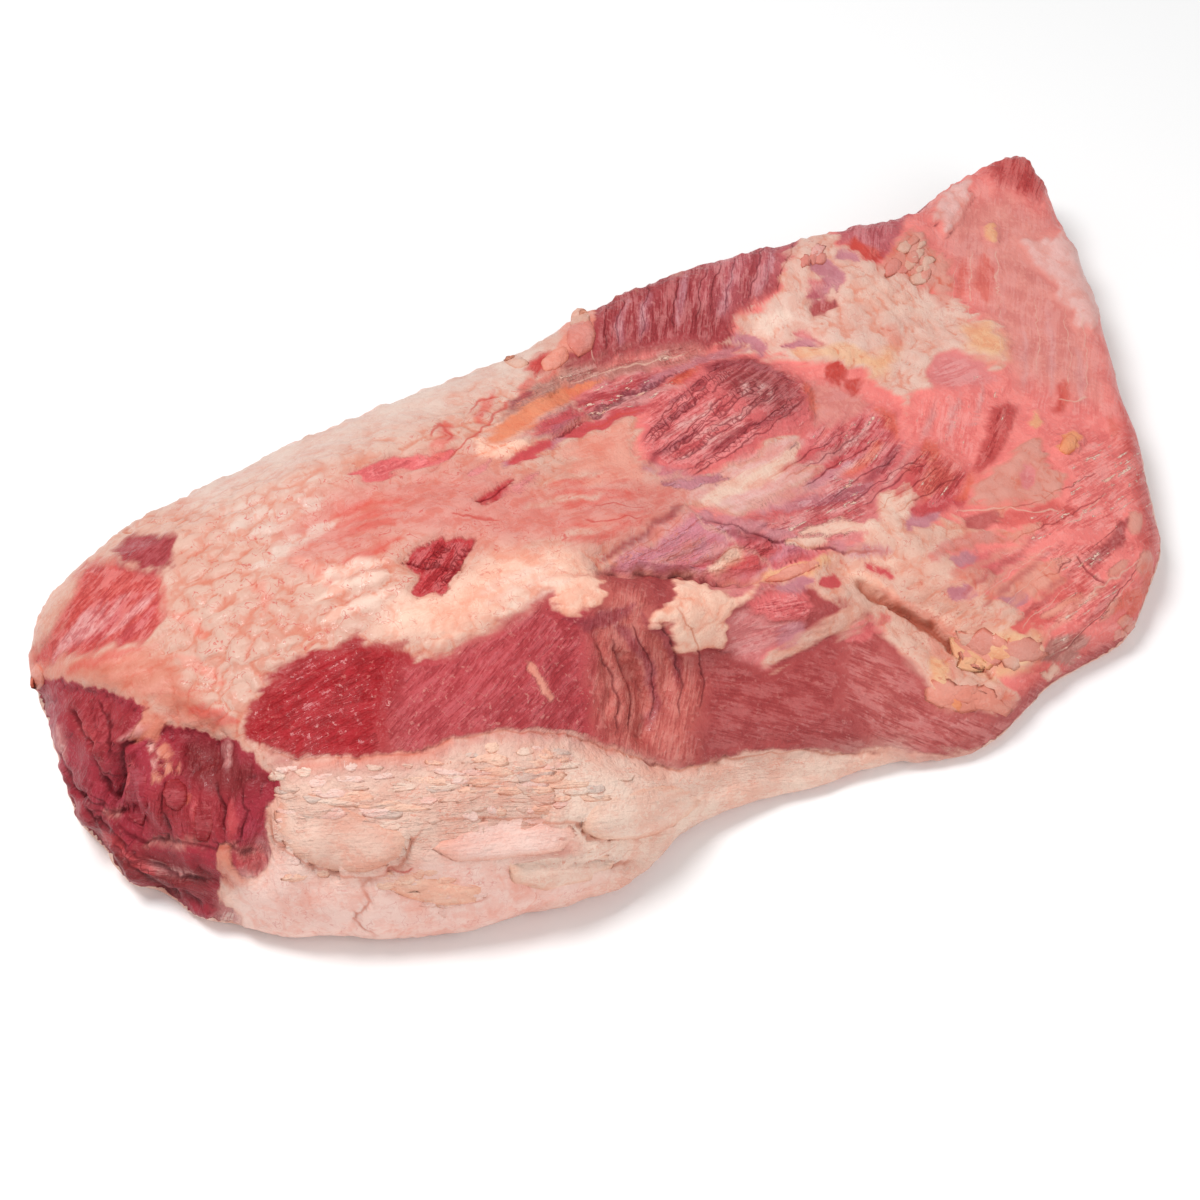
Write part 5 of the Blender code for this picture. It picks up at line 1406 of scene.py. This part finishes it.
def lump(bm, perch, outline, thick, slope, small=False, free=False):
    """A lump on the skin: a ball pressed into an outline. A slope of 1 sinks its upper edge, so that it reads
    as the edge of a layer. Returns each point with how near to the rim it lies, from 0 to 1."""
    corners = np.array(outline, float)
    middle = corners.mean(axis=0)
    sides, rings = (len(outline), 4) if small else (3 * len(outline), 8)
    made = bmesh.ops.create_uvsphere(bm, u_segments=sides, v_segments=rings, radius=1.0)["verts"]
    home, home_normal = perch.nearest(middle)
    rims = []
    for vert in made:
        x, y, z = vert.co
        reach = hypot(x, y)
        turn = (atan2(y, x) / (2 * pi)) % 1.0 * len(corners)
        first = int(turn) % len(corners)
        rim = corners[first] + (turn - int(turn)) * (corners[(first + 1) % len(corners)] - corners[first])
        away = rim - middle
        pixel = middle + reach * away
        place, normal = perch.find(pixel)
        if place is None and free:
            place, normal = perch.beside(pixel, home), home_normal
        if place is None:
            place, normal = perch.nearest(pixel)
        normal = (normal + home_normal).normalized()
        down = (pixel[1] - corners[:, 1].min()) / np.ptp(corners[:, 1])
        crinkle = 0.5 * thick * noise.noise(place / (4 * MM)) + 0.3 * thick * noise.noise(place / (1.5 * MM))
        rise = thick * z * (1 - slope + slope * down) if z > 0 else FOOT * z
        height = rise + crinkle * reach - 0.4 * slope * (1 - down)
        vert.co = place + normal * height * MM
        rims.append((vert, max(smoothstep(0.75, 1.0, reach), float(z < 0))))
    return rims


def blob(random, middle, width, height, turn, corners):
    """An uneven oval outline in the photograph's pixels, turned by some degrees."""
    points = []
    for i in range(corners):
        angle = 2 * pi * i / corners
        size = random.uniform(0.6, 1.15)
        x, y = 0.5 * width * size * cos(angle), 0.5 * height * size * sin(angle)
        points.append((middle[0] + x * cos(radians(turn)) + y * sin(radians(turn)),
                       middle[1] - x * sin(radians(turn)) + y * cos(radians(turn))))
    return points


def loose_piece(name, lumps, traits, is_fat=True, small=False, free=False):
    """One piece from several lumps, each given as tint, thickness, slope and outline."""
    perch = Perch(bpy.data.objects["meat_skin"])
    bm = bmesh.new()
    tinted = []
    for tint, thick, slope, outline in lumps:
        for vert, rim in lump(bm, perch, outline, thick, slope, small, free):
            # painted shade: each lump's rim and underside are darker and warmer
            tinted.append((vert, np.array(linear(TINTS[tint])) * (1 - rim * np.array(RIM_SHADE))))
    bmesh.ops.recalc_face_normals(bm, faces=bm.faces)
    bm.verts.index_update()
    tints = np.empty((len(tinted), 3))
    for vert, tint in tinted:
        tints[vert.index] = tint
    mesh = bpy.data.meshes.new(name)
    bm.to_mesh(mesh)
    bm.free()
    low, high = (np.array(corner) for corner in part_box(NODE))
    places, normals = mesh_points(mesh)
    mesh.vertices.foreach_set("co", np.clip(places, low, high).ravel())
    mesh.update()
    piece = bpy.data.objects.new(name, mesh)
    bpy.context.scene.collection.objects.link(piece)
    paint = Paint(places, np.tile(perch.view.back, (len(places), 1)), {}, (), {})
    paint.find_seams(mesh_edges(mesh))
    paint.lean[:] = -20.0 if is_fat else 20.0
    for name, value in traits.items():
        paint.traits[name][:] = value
    if is_fat:
        paint.fat_tint = tints
    else:
        paint.lean_tint = tints
    dress(piece, paint, np.zeros(len(places)))


def inside_spots(random, outline, count):
    """Places spread at random inside an outline."""
    low, high = np.min(outline, axis=0), np.max(outline, axis=0)
    spots = []
    while len(spots) < count:
        spot = np.array([random.uniform(low[0], high[0]), random.uniform(low[1], high[1])])
        if inside_by(spot[None, :], outline)[0] > 0:
            spots.append(spot)
    return spots


class BRISKET_OT_skin(bpy.types.Operator):
    """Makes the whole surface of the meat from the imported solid"""

    bl_idname = "brisket.skin"
    bl_label = "Meat skin"

    def execute(self, context):
        sizes = context.scene.brisket_skin
        piece = dense_copy(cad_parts[NODE], sizes.levels)
        mesh = piece.data
        places, normals = mesh_points(mesh)
        low, high = (np.array(corner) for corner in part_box(NODE))
        edges = mesh_edges(mesh)
        paint = Paint(places, normals)
        paint.find_seams(edges)
        moved = places + normals * relief(paint, sizes)[:, None]
        moved = np.clip(moved, low, high)
        mesh.vertices.foreach_set("co", moved.ravel())
        mesh.update()
        moved, normals = mesh_points(mesh)
        dress(piece, paint, hollows(edges, moved, normals) / SHALLOW)
        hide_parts(NODE)
        return {"FINISHED"}


class BRISKET_OT_flakes(bpy.types.Operator):
    """Makes the thin flakes and the thick folds of fat on the front"""

    bl_idname = "brisket.flakes"
    bl_label = "Fat flakes"

    def execute(self, context):
        random = Random(FLAKE_SEED)
        flakes = []
        for outline, count, tints in FLAKY:
            for spot in inside_spots(random, outline, count):
                width = min(random.uniform(*FLAKE_WIDTHS), 14 + 2 * inside_by(spot[None, :], outline)[0])
                height, turn = random.uniform(*FLAKE_HEIGHTS), random.uniform(*FLAKE_TURNS)
                shape = blob(random, spot, width, height, turn, 14)
                flakes.append((random.choice(tints), random.uniform(*FLAKE_THICKNESS), 1.0, shape))
        loose_piece("fat_flakes", flakes, dict(flakes=0.8, veins=0.0, lobes=0.0, grain=0.0), small=True)
        loose_piece("fat_folds", FOLDS, dict(flakes=0.35, veins=0.15, lobes=0.0, grain=0.0))
        return {"FINISHED"}


class BRISKET_OT_scraps(bpy.types.Operator):
    """Makes the lumps, tags and scraps of fat that stand on the meat"""

    bl_idname = "brisket.scraps"
    bl_label = "Fat lumps and scraps"

    def execute(self, context):
        random = Random(LUMP_SEED)
        loose_piece("fat_tags", TAGS, dict(flakes=0.3, veins=0.0, lobes=0.0, grain=0.0, film=0.0), free=True)
        lumps = []
        for outline, count, size, turn, thick, tints in LUMPY:
            for spot in inside_spots(random, outline, count):
                width = size * random.uniform(0.6, 1.3)
                height, tilt = width * random.uniform(0.5, 0.8), turn + random.uniform(-25, 25)
                shape = blob(random, spot, width, height, tilt, 8)
                lumps.append((random.choice(tints), thick * random.uniform(0.5, 1.1), 0.3, shape))
        loose_piece("fat_lumps", lumps, dict(flakes=0.1, veins=0.0, lobes=0.0, grain=0.0), small=True)
        loose_piece("lean_lumps", LEAN_LUMPS, dict(grain=0.4, film=0.1, flecks=0.2, scraps=0.0), is_fat=False)
        return {"FINISHED"}


class BRISKET_OT_stage(bpy.types.Operator):
    """Makes the plain floor, the soft lights and the camera at the photograph's angle"""

    bl_idname = "brisket.stage"
    bl_label = "Stage"

    def execute(self, context):
        scene = context.scene
        settings = scene.brisket_stage
        bm = bmesh.new()
        bmesh.ops.create_grid(bm, x_segments=1, y_segments=1, size=settings.floor / 2)
        mesh = bpy.data.meshes.new("floor")
        bm.to_mesh(mesh)
        bm.free()
        floor = bpy.data.objects.new("floor", mesh)
        scene.collection.objects.link(floor)
        paper = bpy.data.materials.new("matt white paper")
        paper.use_nodes = True
        shader = paper.node_tree.nodes["Principled BSDF"]
        shader.inputs["Base Color"].default_value = (*settings.tone, 1.0)
        shader.inputs["Roughness"].default_value = 0.9
        mesh.materials.append(paper)

        view = PhotoView()
        camera = bpy.data.objects.new("camera", bpy.data.cameras.new("camera"))
        camera.data.lens = LENS
        camera.data.sensor_width = SENSOR
        camera.location = view.eye
        camera.rotation_euler = (-view.back).to_track_quat("-Z", "Y").to_euler()
        scene.collection.objects.link(camera)
        scene.camera = camera

        for name, place, size, power in LIGHTS:
            lamp = bpy.data.lights.new(name, "AREA")
            lamp.shape = "DISK"
            lamp.size = size
            lamp.energy = power
            obj = bpy.data.objects.new(name, lamp)
            obj.location = place
            obj.rotation_euler = Vector(place).to_track_quat("Z", "Y").to_euler()
            scene.collection.objects.link(obj)
        scene.world = bpy.data.worlds.new("white room")
        scene.world.use_nodes = True
        room = scene.world.node_tree.nodes["Background"]
        room.inputs["Color"].default_value = (1.0, 1.0, 1.0, 1.0)
        room.inputs["Strength"].default_value = ROOM_LIGHT
        scene.view_settings.view_transform = "Standard"
        return {"FINISHED"}


# Lights: place, width and power; the stronger one hangs over the back left, as the soft shadows show
LIGHTS = (
    ("key light", (-0.55, 0.25, 1.35), 0.6, 14.0),
    ("fill light", (0.5, -1.4, 1.2), 1.2, 9.0),
)
ROOM_LIGHT = 0.47


class BRISKET_PT_panel(bpy.types.Panel):
    """Lists the brisket's pieces and their sizes"""

    bl_idname = "BRISKET_PT_panel"
    bl_label = "Brisket"
    bl_space_type = "VIEW_3D"
    bl_region_type = "UI"
    bl_category = "Brisket"

    def draw(self, context):
        for group in (context.scene.brisket_skin, context.scene.brisket_stage):
            box = self.layout.box()
            for name in group.__annotations__:
                box.prop(group, name)
        for operator in OPERATORS:
            self.layout.operator(operator.bl_idname)


GROUPS = {"brisket_skin": BrisketSkin, "brisket_stage": BrisketStage}
OPERATORS = (BRISKET_OT_skin, BRISKET_OT_flakes, BRISKET_OT_scraps, BRISKET_OT_stage)


def register():
    for cls in (*GROUPS.values(), *OPERATORS, BRISKET_PT_panel):
        bpy.utils.register_class(cls)
    for name, group in GROUPS.items():
        setattr(bpy.types.Scene, name, bpy.props.PointerProperty(type=group))


def unregister():
    for name in GROUPS:
        delattr(bpy.types.Scene, name)
    for cls in reversed((*GROUPS.values(), *OPERATORS, BRISKET_PT_panel)):
        bpy.utils.unregister_class(cls)


def main():
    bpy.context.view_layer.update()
    register()
    bpy.ops.brisket.skin()
    bpy.ops.brisket.flakes()
    bpy.ops.brisket.scraps()
    bpy.ops.brisket.stage()


if __name__ == "__main__":
    main()
